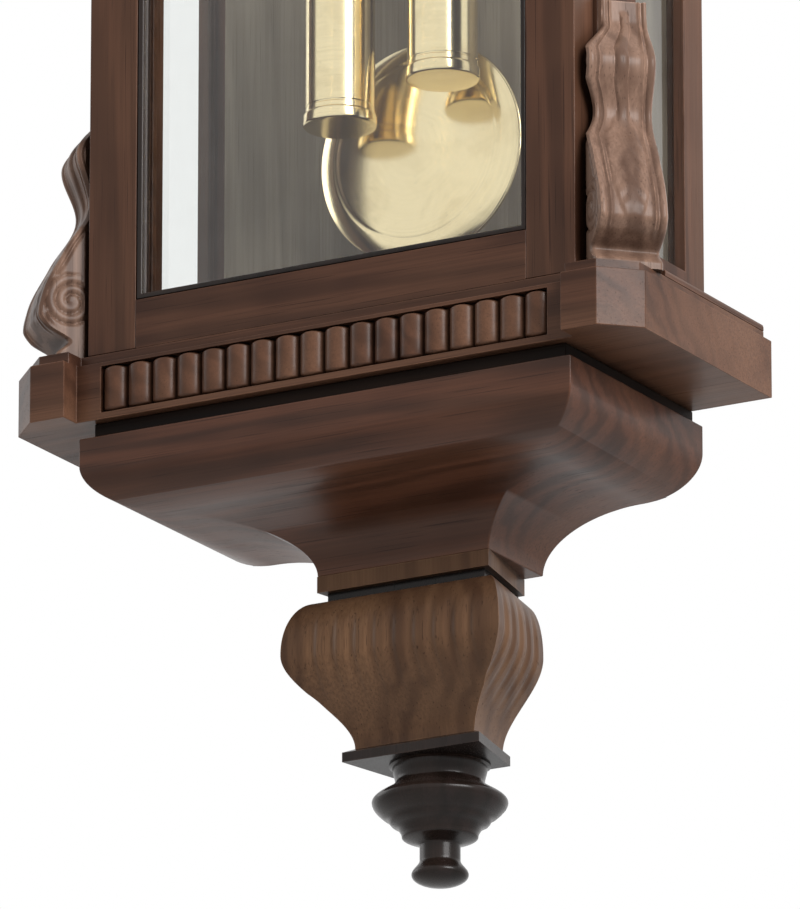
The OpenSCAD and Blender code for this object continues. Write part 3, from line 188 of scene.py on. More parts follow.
class Recipe(Nodes):
    """The nodes of one material."""

    def __init__(self, material: Material) -> None:
        """Takes up a material that has a Principled shader and an output.

        Args:
            material: The material.
        """
        super().__init__(material.node_tree)
        self.material = material
        self.shader = next(n for n in self.tree.nodes if n.type == "BSDF_PRINCIPLED")
        self.out = next(n for n in self.tree.nodes if n.type == "OUTPUT_MATERIAL")

    @classmethod
    def new(cls, name: str) -> "Recipe":
        """Starts a material with a Principled shader alone.

        Args:
            name: The material's name.

        Returns:
            A recipe that adds to it.
        """
        material = bpy.data.materials.new(name)
        material.use_nodes = True
        nodes = material.node_tree.nodes
        nodes.clear()
        out, shader = map(nodes.new, ("ShaderNodeOutputMaterial", "ShaderNodeBsdfPrincipled"))
        material.node_tree.links.new(shader.outputs[0], out.inputs[0])
        return cls(material)

    def coords(self) -> Socket:
        """Returns the object's own coordinates in metres."""
        return self.node("ShaderNodeTexCoord", {}).outputs["Object"]

    def mapped(self, scale: Point = (1, 1, 1), shift: Point = (0, 0, 0)) -> Socket:
        """Object coordinates moved by shift and then stretched by scale.

        Args:
            scale: Factor along each axis.
            shift: Offset in metres added before the scale.

        Returns:
            The vector output.
        """
        moved = self.vector("ADD", self.coords(), shift).outputs[0]
        return self.vector("MULTIPLY", moved, scale).outputs[0]

    def noise(self, vector: Socket, scale: float, detail: float = 3.0,
              rough: float = 0.55, distortion: float = 0.0) -> Socket:
        """Fractal noise, centred near one half.

        Args:
            vector: Where it is read.
            scale: Features per metre of the vector.
            detail: Octaves.
            rough: Share that each octave keeps.
            distortion: How far the pattern is pulled about.

        Returns:
            The value output.
        """
        return self.node("ShaderNodeTexNoise", {}, Vector=vector, Scale=scale, Detail=detail,
                         Roughness=rough, Distortion=distortion).outputs[0]

    def mix(self, share: object, a: object, b: object) -> Socket:
        """Mixes two colours.

        Args:
            share: Share of the second colour.
            a: First colour.
            b: Second colour.

        Returns:
            The mixed colour.
        """
        new = self.node("ShaderNodeMix", {"data_type": "RGBA"})
        for socket, value in zip((new.inputs[0], *new.inputs[6:8]), (share, a, b)):
            self.put(socket, value)
        return new.outputs[2]

    def blend(self, share: object, a: object, b: object) -> Socket:
        """Mixes two shaders.

        Args:
            share: Share of the second shader.
            a: First shader.
            b: Second shader.

        Returns:
            The mixed shader.
        """
        return self.fed("ShaderNodeMixShader", {}, share, a, b).outputs[0]

    def edge(self, radius: float) -> Socket:
        """A mask that is 1 on edges sharper than the radius and 0 on flats.

        The normal averaged over the radius leaves the true one at an edge, so the mask is one
        less their dot product.

        Args:
            radius: The radius in metres.

        Returns:
            The mask.
        """
        soft_normal = self.node("ShaderNodeBevel", {"samples": 4}, Radius=radius).outputs[0]
        normal = self.node("ShaderNodeNewGeometry", {}).outputs["Normal"]
        dot = self.vector("DOT_PRODUCT", soft_normal, normal).outputs["Value"]
        return self.ramp(dot, 0.995, 0.88)

    def painted_corner_shade(self, reach: float) -> Socket:
        """A mask for painted shade: 1 on open surfaces, falling to 0 in corners where shade
        falls.

        Args:
            reach: How far away, in metres, a surface darkens a corner.

        Returns:
            The mask.
        """
        new = self.node("ShaderNodeAmbientOcclusion", {"samples": 4}, Distance=reach)
        return new.outputs["AO"]

    def bump(self, height: Socket, strength: float, depth: float,
             under: Socket | None = None) -> Socket:
        """Tilts the normal by a height pattern.

        Args:
            height: The pattern, 0 to 1.
            strength: Share of the tilt that is used.
            depth: Depth of the pattern in metres.
            under: Another bump below this one.

        Returns:
            The normal.
        """
        new = self.node("ShaderNodeBump", {}, Height=height, Strength=strength, Distance=depth)
        if under is not None:
            self.put(new.inputs["Normal"], under)
        return new.outputs[0]

    def dress(self, **inputs: object) -> Material:
        """Feeds the shader's sockets.

        Args:
            **inputs: Sockets by name, with underscores for spaces.

        Returns:
            The material.
        """
        for key, value in inputs.items():
            self.put(self.shader.inputs[key.replace("_", " ")], value)
        return self.material

    def end(self, shader: Socket) -> Material:
        """Lets the material end in another shader.

        Args:
            shader: The shader's output.

        Returns:
            The material.
        """
        self.put(self.out.inputs[0], shader)
        return self.material


class Grain(Enum):
    """The way that a board's grain runs: stretch of the pattern along x, y and z."""

    ACROSS = (0.07, 1.0, 1.0)
    DEEP = (1.0, 0.07, 1.0)
    UPRIGHT = (1.0, 1.0, 0.07)


class Finish:
    """A surface finish that is made once and shared by its pieces."""

    name: str

    def make(self) -> Material:
        """Lays the nodes. Each finish has its own."""
        raise NotImplementedError

    def material(self) -> Material:
        """Returns the shared material, made on first use."""
        return bpy.data.materials.get(self.name) or self.make()


@dataclass(frozen=True)
class Wood(Finish):
    """Polished timber with growth bands, fibre, pores, rubbed edges, and painted shade with dark
    wax in its corners.
    """

    name: str
    light: Colour
    middle: Colour
    dark: Colour
    grain: Grain = Grain.UPRIGHT
    rough: float = 0.42
    coat: float = 0.06
    shine: float = 0.15
    shift: Point = (0.0, 0.0, 0.0)
    worn: float = 0.5
    bands: float = 26.0

    def make(self) -> Material:
        """Bands are a wave pulled about by noise; fibre and pores are noise drawn out.

        Returns:
            The material.
        """
        r = Recipe.new(self.name)
        long = self.grain.value
        across = r.mapped(long, self.shift)
        along = r.mapped(tuple(0.012 if k < 1 else 1.0 for k in long), self.shift)
        wander = r.noise(across, 7.0, 2.0, 0.5, 0.6)
        wave = r.node("ShaderNodeTexWave", {"bands_direction": "DIAGONAL"}, Vector=across,
                      Scale=self.bands, Distortion=7.5, Detail=3.0, Detail_Scale=1.1,
                      Detail_Roughness=0.6).outputs["Fac"]
        cloud = r.noise(across, 22.0, 4.0, 0.6, 0.8)
        fibre = r.noise(along, 520.0, 5.0, 0.65)
        pores = r.ramp(r.noise(along, 950.0, 2.0, 0.5), 0.62, 0.72)
        patch = r.noise(r.mapped(shift=self.shift), 4.5, 3.0, 0.6)
        figure = r.sums("MULTIPLY_ADD", wave, 0.45, r.sums("MULTIPLY", cloud, 0.6))
        colour = r.mix(r.ramp(figure, 0.25, 0.8), self.middle, self.dark)
        colour = r.mix(r.ramp(wander, 0.45, 0.75), colour, self.light)
        colour = r.mix(r.ramp(fibre, 0.3, 0.75, 0.0, 0.5), colour, self.dark)
        colour = r.mix(r.ramp(patch, 0.35, 0.7, 0.0, 0.35), colour, self.light)
        colour = r.mix(r.sums("MULTIPLY", pores, 0.6), colour, tuple(0.35 * c for c in self.dark))
        rubbed = r.sums("MULTIPLY", r.edge(0.0016),
                        r.ramp(r.noise(r.mapped(), 38.0, 4.0, 0.7), 0.35, 0.7))
        colour = r.mix(r.sums("MULTIPLY", rubbed, self.worn), colour,
                       tuple(min(1.0, 1.9 * c) for c in self.light))
        # Painted shade: ambient occlusion darkens corners and recesses; it also stands for dark
        # wax there.
        corner = r.ramp(r.painted_corner_shade(0.012), 0.25, 0.95, 0.55, 0.0)
        colour = r.mix(corner, colour, tuple(0.3 * c for c in self.dark))
        smear = r.noise(r.mapped(), 14.0, 4.0, 0.6, 0.4)
        rough = r.sums("MULTIPLY_ADD", smear, 0.18, self.rough - 0.12)
        rough = r.sums("MULTIPLY_ADD", pores, 0.2, rough)
        low = r.bump(figure, 0.12, 0.0006)
        normal = r.bump(r.sums("SUBTRACT", fibre, pores), 0.16, 0.00035, low)
        return r.dress(Base_Color=colour, Roughness=rough, Normal=normal, Coat_Weight=self.coat,
                       Coat_Roughness=0.2, Specular_IOR_Level=self.shine)


@dataclass(frozen=True)
class Metal(Finish):
    """Polished or plain metal with clouding, hairline marks and painted shade in corners."""

    name: str
    bright: Colour
    dull: Colour
    rough: float = 0.2
    marks: Point = (40.0, 40.0, 900.0)
    tarnish: float = 0.35
    depth: float = 0.00012
    centre: Point | None = None
    rings: float = 900.0

    def make(self) -> Material:
        """Marks are fine noise drawn out along the way the metal was polished.

        With a centre, the marks are rings about the line along y through it: the noise is read
        at the distance from that line.

        Returns:
            The material.
        """
        r = Recipe.new(self.name)
        if self.centre is None:
            lines = r.noise(r.mapped(self.marks), 1.0, 3.0, 0.6)
        else:
            flat = r.mapped((1, 0, 1), tuple(-c for c in self.centre))
            away = r.vector("LENGTH", flat).outputs["Value"]
            spot = r.node("ShaderNodeCombineXYZ", {}, X=r.sums("MULTIPLY", away, self.rings))
            lines = r.noise(spot.outputs[0], 1.0, 3.0, 0.6)
        cloud = r.noise(r.mapped(), 26.0, 5.0, 0.62, 0.5)
        specks = r.ramp(r.noise(r.mapped(), 420.0, 2.0, 0.5), 0.66, 0.74)
        colour = r.mix(r.ramp(cloud, 0.42, 0.75, 0.0, self.tarnish), self.bright, self.dull)
        colour = r.mix(r.ramp(lines, 0.35, 0.75, 0.0, 0.18), colour, self.dull)
        colour = r.mix(r.sums("MULTIPLY", specks, 0.5 * self.tarnish), colour,
                       tuple(0.45 * c for c in self.dull))
        # Painted shade: ambient occlusion darkens the corners.
        corner = r.ramp(r.painted_corner_shade(0.006), 0.2, 0.9, 0.6, 0.0)
        colour = r.mix(corner, colour, tuple(0.4 * c for c in self.dull))
        rough = r.sums("MULTIPLY_ADD", cloud, 0.16, self.rough - 0.08)
        rough = r.sums("MULTIPLY_ADD", lines, 0.1, rough)
        return r.dress(Base_Color=colour, Metallic=1.0, Roughness=rough,
                       Normal=r.bump(lines, 0.25, self.depth))


@dataclass(frozen=True)
class Pane(Finish):
    """Old window glass: clear, with a weak mirror image and a thin film of dust."""

    name: str
    tint: Colour = (0.985, 0.992, 0.988)
    veil: float = 1.5

    def make(self) -> Material:
        """Clear and mirror shares, split by Fresnel on the outer face alone, under the dust.

        Returns:
            The material.
        """
        r = Recipe.new(self.name)
        r.tree.nodes.remove(r.shader)
        wavy = r.bump(r.noise(r.mapped((1, 1, 0.5)), 9.0, 2.0, 0.5), 0.05, 0.002)
        clear = r.node("ShaderNodeBsdfTransparent", {}, Color=self.tint).outputs[0]
        gloss = r.node("ShaderNodeBsdfGlossy", {}, Color=(1, 1, 1), Roughness=0.03,
                       Normal=wavy).outputs[0]
        dust = r.node("ShaderNodeBsdfDiffuse", {}, Color=(0.72, 0.7, 0.66)).outputs[0]
        fresnel = r.node("ShaderNodeFresnel", {}, IOR=1.45, Normal=wavy).outputs[0]
        inside = r.node("ShaderNodeNewGeometry", {}).outputs["Backfacing"]
        fresnel = r.sums("MULTIPLY", fresnel, r.sums("SUBTRACT", 1.0, inside))
        film = r.ramp(r.noise(r.mapped(), 60.0, 5.0, 0.7), 0.3, 0.9, 0.002, 0.02)
        clean = r.blend(r.sums("MULTIPLY", fresnel, self.veil), clear, gloss)
        return r.end(r.blend(film, clean, dust))


@dataclass(frozen=True)
class Enamel(Finish):
    """Fired white enamel or painted card: soft clouding, hair cracks and a little gloss."""

    name: str
    colour: Colour
    stain: Colour
    rough: float = 0.28
    cracks: float = 0.35

    def make(self) -> Material:
        """Cracks follow the borders of a cell pattern; stains are low noise.

        Returns:
            The material.
        """
        r = Recipe.new(self.name)
        place = r.mapped()
        cloud = r.noise(place, 30.0, 5.0, 0.6)
        cells = r.node("ShaderNodeTexVoronoi", {"feature": "DISTANCE_TO_EDGE"}, Vector=place,
                       Scale=46.0).outputs["Distance"]
        crack = r.sums("MULTIPLY", r.ramp(cells, 0.012, 0.0), r.ramp(cloud, 0.5, 0.62))
        colour = r.mix(r.ramp(cloud, 0.4, 0.8, 0.0, 0.4), self.colour, self.stain)
        colour = r.mix(r.sums("MULTIPLY", crack, self.cracks), colour, (0.12, 0.09, 0.06))
        rough = r.sums("MULTIPLY_ADD", cloud, 0.15, self.rough - 0.07)
        return r.dress(Base_Color=colour, Roughness=rough, Coat_Weight=0.3, Coat_Roughness=0.1,
                       Normal=r.bump(cloud, 0.06, 0.0005))


@dataclass(frozen=True)
class Gut(Finish):
    """Twisted gut line: strands wind round it along its height."""

    name: str
    light: Colour
    dark: Colour

    def make(self) -> Material:
        """The strands are a slanting wave, and low noise darkens some of their length.

        Returns:
            The material.
        """
        r = Recipe.new(self.name)
        wave = r.node("ShaderNodeTexWave", {"bands_direction": "DIAGONAL"},
                      Vector=r.mapped(), Scale=260.0, Distortion=1.0, Detail=2.0
                      ).outputs["Fac"]
        cloud = r.noise(r.mapped(), 90.0, 4.0, 0.6)
        colour = r.mix(r.ramp(wave, 0.2, 0.8), self.light, self.dark)
        colour = r.mix(r.ramp(cloud, 0.4, 0.7, 0.0, 0.5), colour, self.dark)
        return r.dress(Base_Color=colour, Roughness=r.ramp(cloud, 0.2, 0.8, 0.4, 0.6),
                       Normal=r.bump(wave, 0.5, 0.0003))


@dataclass(frozen=True)
class RodWood(Wood):
    """The pendulum rod's wood, which ends in a brass stud and pointer below a height."""

    brass_below: float = 125.0
    brass: Colour = (0.80, 0.62, 0.33)

    def make(self) -> Material:
        """The wood's nodes, with colour and metal chosen by the height.

        Returns:
            The material.
        """
        r = Recipe(super().make())
        place = r.node("ShaderNodeSeparateXYZ", {}, Vector=r.coords()).outputs["Z"]
        foot = r.sums("LESS_THAN", place, (self.brass_below - HANG) * MM)
        wood = r.shader.inputs["Base Color"].links[0].from_socket
        return r.dress(Base_Color=r.mix(foot, wood, self.brass), Metallic=foot)


@dataclass(frozen=True)
class Plain(Finish):
    """The studio's floor: matt and pale, white where it is seen, in mirrors and through glass."""

    name: str
    colour: Colour = (0.93, 0.93, 0.92)
    shade: Colour = (0.86, 0.86, 0.85)
    white: float = 0.6

    def make(self) -> Material:
        """Shadowed paper for the light, with a share of plain white for seen rays.

        Returns:
            The material.
        """
        r = Recipe.new(self.name)
        cloud = r.noise(r.mapped(), 1.4, 4.0, 0.6)
        colour = r.mix(r.ramp(cloud, 0.3, 0.8, 0.0, 0.25), self.colour, self.shade)
        r.dress(Base_Color=colour, Roughness=0.9, Specular_IOR_Level=0.1)
        glow = r.node("ShaderNodeEmission", {}, Color=(1, 1, 1), Strength=1.0).outputs[0]
        share = r.sums("MULTIPLY", r.seen_rays(), self.white)
        return r.end(r.blend(share, r.shader.outputs[0], glow))


class Finishes:
    """The finishes of the clock, in a maker's plain words."""

    LIGHT: Colour = (0.165, 0.080, 0.046)
    MIDDLE: Colour = (0.090, 0.038, 0.022)
    DARK: Colour = (0.036, 0.014, 0.008)

    stile = Wood("walnut upright", LIGHT, MIDDLE, DARK, Grain.UPRIGHT)
    rail = Wood("walnut across", LIGHT, MIDDLE, DARK, Grain.ACROSS, shift=(0.2, 0.4, 0.1))
    side = Wood("walnut deep", LIGHT, MIDDLE, DARK, Grain.DEEP, shift=(0.5, 0.1, 0.3))
    # Painted light: the carved walnut is a lighter copy of the case's walnut, standing in for the
    # sheen on the carvings.
    carved = Wood("walnut carved with painted sheen", (0.330, 0.205, 0.148), (0.215, 0.128, 0.090),
                  (0.072, 0.036, 0.023), Grain.UPRIGHT, shift=(0.3, 0.2, 0.6), worn=0.7)
    base = Wood("walnut veneer", (0.165, 0.070, 0.038), (0.095, 0.036, 0.020), DARK,
                Grain.ACROSS, shift=(0.7, 0.3, 0.2), rough=0.36, coat=0.16)
    # Painted light: the inside walnut is made pale, standing in for the light that comes through
    # the glass onto the backboard.
    inner = Wood("walnut inside with painted light", (0.455, 0.395, 0.315), (0.350, 0.298, 0.234),
                 (0.195, 0.158, 0.118), Grain.UPRIGHT, rough=0.6, coat=0.05, shift=(0.1, 0, 0))
    block = Wood("walnut pendant", (0.205, 0.108, 0.056), (0.122, 0.062, 0.033),
                 (0.044, 0.019, 0.011), Grain.UPRIGHT, shift=(0.9, 0.3, 0.4), rough=0.46,
                 coat=0.05)
    black = Wood("black polished wood", (0.034, 0.021, 0.016), (0.015, 0.009, 0.008),
                 (0.006, 0.004, 0.003), Grain.UPRIGHT, rough=0.28, coat=0.14, worn=0.9)
    # Painted shadow: the base's neck is near black, for the shadow under the slab.
    shade = Wood("dark neck", (0.030, 0.016, 0.010), (0.016, 0.008, 0.005),
                 (0.007, 0.004, 0.003), Grain.ACROSS, rough=0.6, coat=0.0, shine=0.1)
    rod = RodWood("rod wood", (0.150, 0.085, 0.045), (0.085, 0.045, 0.024), DARK,
                  Grain.UPRIGHT, shift=(0.4, 0.4, 0.4), bands=60.0)
    brass = Metal("polished brass", (0.88, 0.74, 0.46), (0.60, 0.45, 0.23), rough=0.13)
    plate = Metal("plate brass", (0.80, 0.62, 0.33), (0.52, 0.37, 0.17), rough=0.26,
                  marks=(900.0, 40.0, 40.0))
    hinge = Metal("hinge brass", (0.70, 0.52, 0.27), (0.33, 0.22, 0.11), rough=0.33, tarnish=0.7)
    blued = Metal("blued steel", (0.050, 0.055, 0.085), (0.020, 0.018, 0.026), rough=0.24)
    steel = Metal("steel", (0.52, 0.51, 0.49), (0.30, 0.28, 0.26), rough=0.28)
    iron = Metal("cast iron", (0.16, 0.155, 0.15), (0.07, 0.06, 0.055), rough=0.55,
                 marks=(300.0, 300.0, 300.0), depth=0.0006)
    bob = Metal("bob brass", (0.88, 0.74, 0.46), (0.60, 0.45, 0.23), rough=0.12,
                centre=(0.0, 0.0, (BOB_S - HANG) * MM))
    rings = Metal("bezel brass", (0.86, 0.70, 0.40), (0.58, 0.42, 0.2), rough=0.15,
                  centre=(0.0, 0.0, (DIAL_S - HANG) * MM))
    glass = Pane("case glass")
    enamel = Enamel("white enamel", (0.86, 0.85, 0.80), (0.74, 0.70, 0.60))
    numeral = Enamel("black numerals", (0.012, 0.011, 0.012), (0.03, 0.025, 0.02), rough=0.4,
                     cracks=0.0)
    scale = Enamel("scale white", (0.78, 0.75, 0.66), (0.60, 0.54, 0.42), rough=0.4)
    gut = Gut("gut line", (0.52, 0.36, 0.17), (0.26, 0.16, 0.07))
    floor = Plain("pale floor")


# Surfaces: grids, turnings, tubes and mouldings gathered into one mesh


def together(*parts: object) -> np.ndarray:
    """Sets coordinates side by side, each spread to their common shape.

    Args:
        *parts: Numbers or arrays, one for each coordinate.

    Returns:
        Their points, with the coordinates along the last axis.
    """
    return np.stack(np.broadcast_arrays(*parts), -1)


def round_edges(piece: bpy.types.Object, width: float) -> None:
    """Rounds a piece's sharp edges.

    Args:
        piece: The piece.
        width: Width of the rounding in millimetres.
    """
    rounding = piece.modifiers.new("Rounded edges", "BEVEL")
    rounding.width = width * MM
    rounding.segments = 2
    rounding.limit_method = "ANGLE"
    rounding.angle_limit = math.radians(BENT)
    rounding.harden_normals = True


@dataclass
class Form:
    """Vertices and faces of one piece, in millimetres until the mesh is made."""

    points: list[np.ndarray] = field(default_factory=list)
    quads: list[np.ndarray] = field(default_factory=list)
    caps: list[list[int]] = field(default_factory=list)
    marks: list[np.ndarray] = field(default_factory=list)
    cap_marks: list[int] = field(default_factory=list)
    count: int = 0

    def take(self, points: np.ndarray) -> int:
        """Adds points.

        Args:
            points: Rows of x, y and s in any grouping.

        Returns:
            The number of the first one.
        """
        first = self.count
        self.points.append(np.asarray(points, float).reshape(-1, 3))
        self.count += len(self.points[-1])
        return first

    def grid(self, rows: np.ndarray, slot: int = 0, wrap: bool = True, ends: bool = True
             ) -> None:
        """Joins rows of points with quads.

        Each face runs from a row to the next one and from a point to the next one in its row.

        Args:
            rows: Points, as rows by columns by three.
            slot: The piece's material slot.
            wrap: True where each row is a closed loop.
            ends: True where the first and last loop get a cap.
        """
        n, m = rows.shape[:2]
        first = self.take(rows)
        i = np.arange(n - 1)[:, None] * m
        j = np.arange(m if wrap else m - 1)[None, :]
        k = (j + 1) % m
        quads = np.stack([i + j, i + k, i + m + k, i + m + j], -1).reshape(-1, 4) + first
        self.quads.append(quads)
        self.marks.append(np.full(len(quads), slot))
        if ends:
            last = first + (n - 1) * m
            self.caps += [list(range(first, first + m))[::-1], list(range(last, last + m))]
            self.cap_marks += [slot, slot]

    def turned(self, profile: np.ndarray, centre: Point, along_y: bool = False,
               sides: int = 72, slot: int = 0, flat_back: bool = False, ring: bool = False
               ) -> None:
        """A turning: each profile point [radius, height] goes round the axis in a circle.

        Args:
            profile: Rows of radius and height, with a small radius at closed ends.
            centre: Where radius 0, height 0 is: x, y, s.
            along_y: True where the axis points at the viewer, along -y, and not up.
            sides: Points round the circle.
            slot: The piece's material slot.
            flat_back: True where what reaches past the wall is pressed flat to it.
            ring: True for a ring with a hole, whose profile is closed.
        """
        a = np.linspace(0, 2 * np.pi, sides, endpoint=False)
        r = np.maximum(profile[:, 0], 0.01)[:, None]
        x, up, h = r * np.cos(a), r * np.sin(a), profile[:, 1, None]
        rows = (together(x, -h, up) if along_y else together(x, up, h)) + np.array(centre)
        if flat_back:
            rows[..., 1] = np.minimum(rows[..., 1], 0.0)
        if ring:
            rows = np.concatenate([rows, rows[:1]])
        self.grid(rows, slot, ends=not ring)

    def pin(self, centre: Point, radius: float, long: float, slot: int = 0) -> None:
        """A plain pin that points at the viewer.

        Args:
            centre: Middle of its rear end.
            radius: Its radius.
            long: Its length.
            slot: The piece's material slot.
        """
        self.turned(np.array([[SMALL, 0], [radius, 0], [radius, long], [SMALL, long]]), centre,
                    along_y=True, sides=24, slot=slot)

    def tube(self, path: np.ndarray, radius: float, sides: int = 12) -> None:
        """A round tube along a path: rings stand square to it, carried without twist.

        Args:
            path: Points along the middle.
            radius: The tube's radius.
            sides: Points round it.
        """
        run = np.vstack([path[1:], path[-1:]]) - np.vstack([path[:1], path[:-1]])
        run /= np.linalg.norm(run, axis=1)[:, None]
        up = np.eye(3)[int(np.argmin(np.ptp(path, axis=0)))]
        side = np.cross(run, up)
        side /= np.linalg.norm(side, axis=1)[:, None]
        over = np.cross(side, run)
        a = np.linspace(0, 2 * np.pi, sides, endpoint=False)
        rows = (path[:, None, :] + radius * (np.cos(a)[None, :, None] * side[:, None, :]
                                             + np.sin(a)[None, :, None] * over[:, None, :]))
        self.grid(rows)

    def plate(self, outline: np.ndarray, near: float, away: float, centre: Point = (0, 0, 0),
              slot: int = 0, plane: str = "xz") -> None:
        """A flat outline with thickness.

        Args:
            outline: Points of the outline, anticlockwise.
            near: Distance from the wall of its back, or its low height in plane xy.
            away: Distance from the wall of its front, or its high height.
            centre: Added to each point.
            slot: The piece's material slot.
            plane: "xz" for a plate that faces the viewer, "xy" for one that lies flat.
        """
        x, up = outline.T
        level = np.array([[near], [away]])
        ends = together(x, -level, up) if plane == "xz" else together(x, up, level)
        self.grid(ends + np.array(centre), slot)

    def block(self, low: Point, high: Point, slot: int = 0) -> None:
        """A block between two corners.

        Args:
            low: The corner with the least x, y and s.
            high: The corner with the greatest.
            slot: The piece's material slot.
        """
        self.plate(box(low[:2], high[:2]), low[2], high[2], plane="xy", slot=slot)

    def make(self, name: str, body: str, finishes: list[Finish], slot: str,
             stands_for: tuple[str, ...] = (), bevel: float = 0.0, angle: float = 34.0
             ) -> bpy.types.Object:
        """Turns the form into a piece that rides on a body.

        Args:
            name: The piece's name.
            body: The CAD body it moves with.
            finishes: One finish for each material slot.
            slot: The record's slot of the piece; not used.
            stands_for: The CAD nodes that it replaces.
            bevel: Width of the rounding on its sharp edges.
            angle: Edges sharper than this many degrees stay crisp.

        Returns:
            The new object.
        """
        points = np.concatenate(self.points) * MM
        points[:, 2] -= HANG * MM
        quads = np.concatenate(self.quads)
        mesh = bpy.data.meshes.new(name)
        mesh.from_pydata(points.tolist(), [], quads.tolist() + self.caps)
        marks = np.concatenate(self.marks + [np.array(self.cap_marks, int)]).astype(np.int32)
        mesh.polygons.foreach_set("material_index", marks)
        tidy = bmesh.new()
        tidy.from_mesh(mesh)
        bmesh.ops.remove_doubles(tidy, verts=tidy.verts, dist=4e-6)
        bmesh.ops.recalc_face_normals(tidy, faces=tidy.faces)
        tidy.to_mesh(mesh)
        tidy.free()
        mesh.shade_smooth()
        mesh.set_sharp_from_angle(angle=math.radians(angle))
        piece = bpy.data.objects.new(name, mesh)
        bpy.context.scene.collection.objects.link(piece)
        for finish in finishes:
            mesh.materials.append(finish.material())
        if bevel:
            round_edges(piece, bevel)
        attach(piece, body)
        if stands_for:
            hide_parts(*stands_for)
        log.info("%s: %d faces on %s", name, len(mesh.polygons), body)
        return piece


def flowing(keys: np.ndarray, at: np.ndarray) -> np.ndarray:
    """A smooth curve through keys [place, value] that never overshoots them.

    It is a cubic between two keys. Its slope at a key is the weighted harmonic mean of the
    slopes beside it, or 0 where they differ in sign.

    Args:
        keys: Rows of place and value, places rising.
        at: Places to read.

    Returns:
        The values there.
    """
    x, y = keys[:, 0], keys[:, 1]
    h = np.diff(x)
    d = np.diff(y) / h
    same = d[:-1] * d[1:] > 0
    a, b = 2 * h[1:] + h[:-1], h[1:] + 2 * h[:-1]
    safe = np.where(same, d[:-1], 1.0), np.where(same, d[1:], 1.0)
    inner = np.where(same, (a + b) / (a / safe[0] + b / safe[1]), 0.0)
    m = np.concatenate([d[:1], inner, d[-1:]])
    k = np.clip(np.searchsorted(x, at, side="right") - 1, 0, len(x) - 2)
    t = np.clip((at - x[k]) / h[k], 0, 1)
    return ((1 + 2 * t) * (1 - t) ** 2 * y[k] + t * (1 - t) ** 2 * h[k] * m[k]
            + t * t * (3 - 2 * t) * y[k + 1] + t * t * (t - 1) * h[k] * m[k + 1])


def eased_run(keys: np.ndarray, steps: int) -> np.ndarray:
    """Points along a curve through keys [place, value], joined by half cosine waves.

    Args:
        keys: Rows of place and value, places rising or falling.
        steps: Steps in each part.

    Returns:
        Rows of value and place.
    """
    t = np.linspace(0, 1, steps, endpoint=False)
    place = (keys[:-1, 0, None] + np.diff(keys[:, 0])[:, None] * t).ravel()
    value = (keys[:-1, 1, None] + np.diff(keys[:, 1])[:, None] * (1 - np.cos(np.pi * t)) / 2
             ).ravel()
    return np.vstack([together(value, place), keys[-1:, ::-1]])


def arc(centre: Pair, size: Pair, start: float, stop: float, steps: int) -> np.ndarray:
    """Points on an ellipse from one angle to another, in degrees.

    Args:
        centre: Middle of the ellipse.
        size: Its two half axes.
        start: First angle.
        stop: Last angle.
        steps: Number of steps.

    Returns:
        Rows of two coordinates.
    """
    a = np.radians(np.linspace(start, stop, steps + 1))
    return together(centre[0] + size[0] * np.cos(a), centre[1] + size[1] * np.sin(a))


def soft(x: np.ndarray, low: float, high: float) -> np.ndarray:
    """A smooth step from 0 at low to 1 at high, 3t^2 - 2t^3.

    Args:
        x: Where it is read.
        low: Start of the step.
        high: End of the step.

    Returns:
        The values there.
    """
    t = np.clip((x - low) / (high - low), 0, 1)
    return t * t * (3 - 2 * t)


def hill(x: np.ndarray, at: float, wide: float) -> np.ndarray:
    """A rounded hill of height 1, the bell curve exp(-u^2).

    Args:
        x: Where it is read.
        at: Place of its top.
        wide: Half its width, where it has fallen to 1/e.

    Returns:
        The values there.
    """
    return np.exp(-((x - at) / wide) ** 2)


def box(low: Pair, high: Pair) -> np.ndarray:
    """The outline of a rectangle, anticlockwise.

    Args:
        low: Its lower left corner.
        high: Its upper right corner.

    Returns:
        Four rows of two coordinates.
    """
    return np.array([low, [high[0], low[1]], high, [low[0], high[1]]], float)


def two_sided(half: np.ndarray, place: np.ndarray) -> np.ndarray:
    """An outline that is the same on both sides of the upright axis.

    Args:
        half: Half widths.
        place: Their heights.

    Returns:
        Rows of two coordinates, up the right side and down the left.
    """
    return np.vstack([together(half, place), together(-half, place)[::-1]])


def turning(angle: float) -> np.ndarray:
    """The matrix that turns rows of two coordinates anticlockwise.

    Args:
        angle: The angle in degrees.

    Returns:
        Two rows of two numbers, to stand after the @.
    """
    a = math.radians(angle)
    return np.array([[math.cos(a), math.sin(a)], [-math.sin(a), math.cos(a)]])


def moulded(profile: np.ndarray, splay: float = 0.0, across: int = 2, deep: int = 2
            ) -> np.ndarray:
    """Loops in plan for a block with its flat back at the wall.

    Each profile row is [half width at the wall, depth, height]. The sides spread by the angle
    splay towards the front.

    Args:
        profile: Rows of half width, depth and height.
        splay: The spread of the sides in degrees.
        across: Points along the front.
        deep: Points along each side.

    Returns:
        One closed loop of points for each row, from the back left corner round the front.
    """
    half, depth, height = profile[:, 0, None], profile[:, 1, None], profile[:, 2, None]
    wide = half + depth * math.tan(math.radians(splay))
    t = np.linspace(0, 1, deep)[None, :]
    u = np.linspace(-1, 1, across)[None, :]
    left = together(-(half + (wide - half) * t), -depth * t)
    right = left[:, ::-1] * np.array([-1.0, 1.0])
    plan = np.concatenate([left[:, :-1], together(wide * u, -depth), right[:, 1:]], 1)
    return together(plan[..., 0], plan[..., 1], height)


# Sub-assemblies


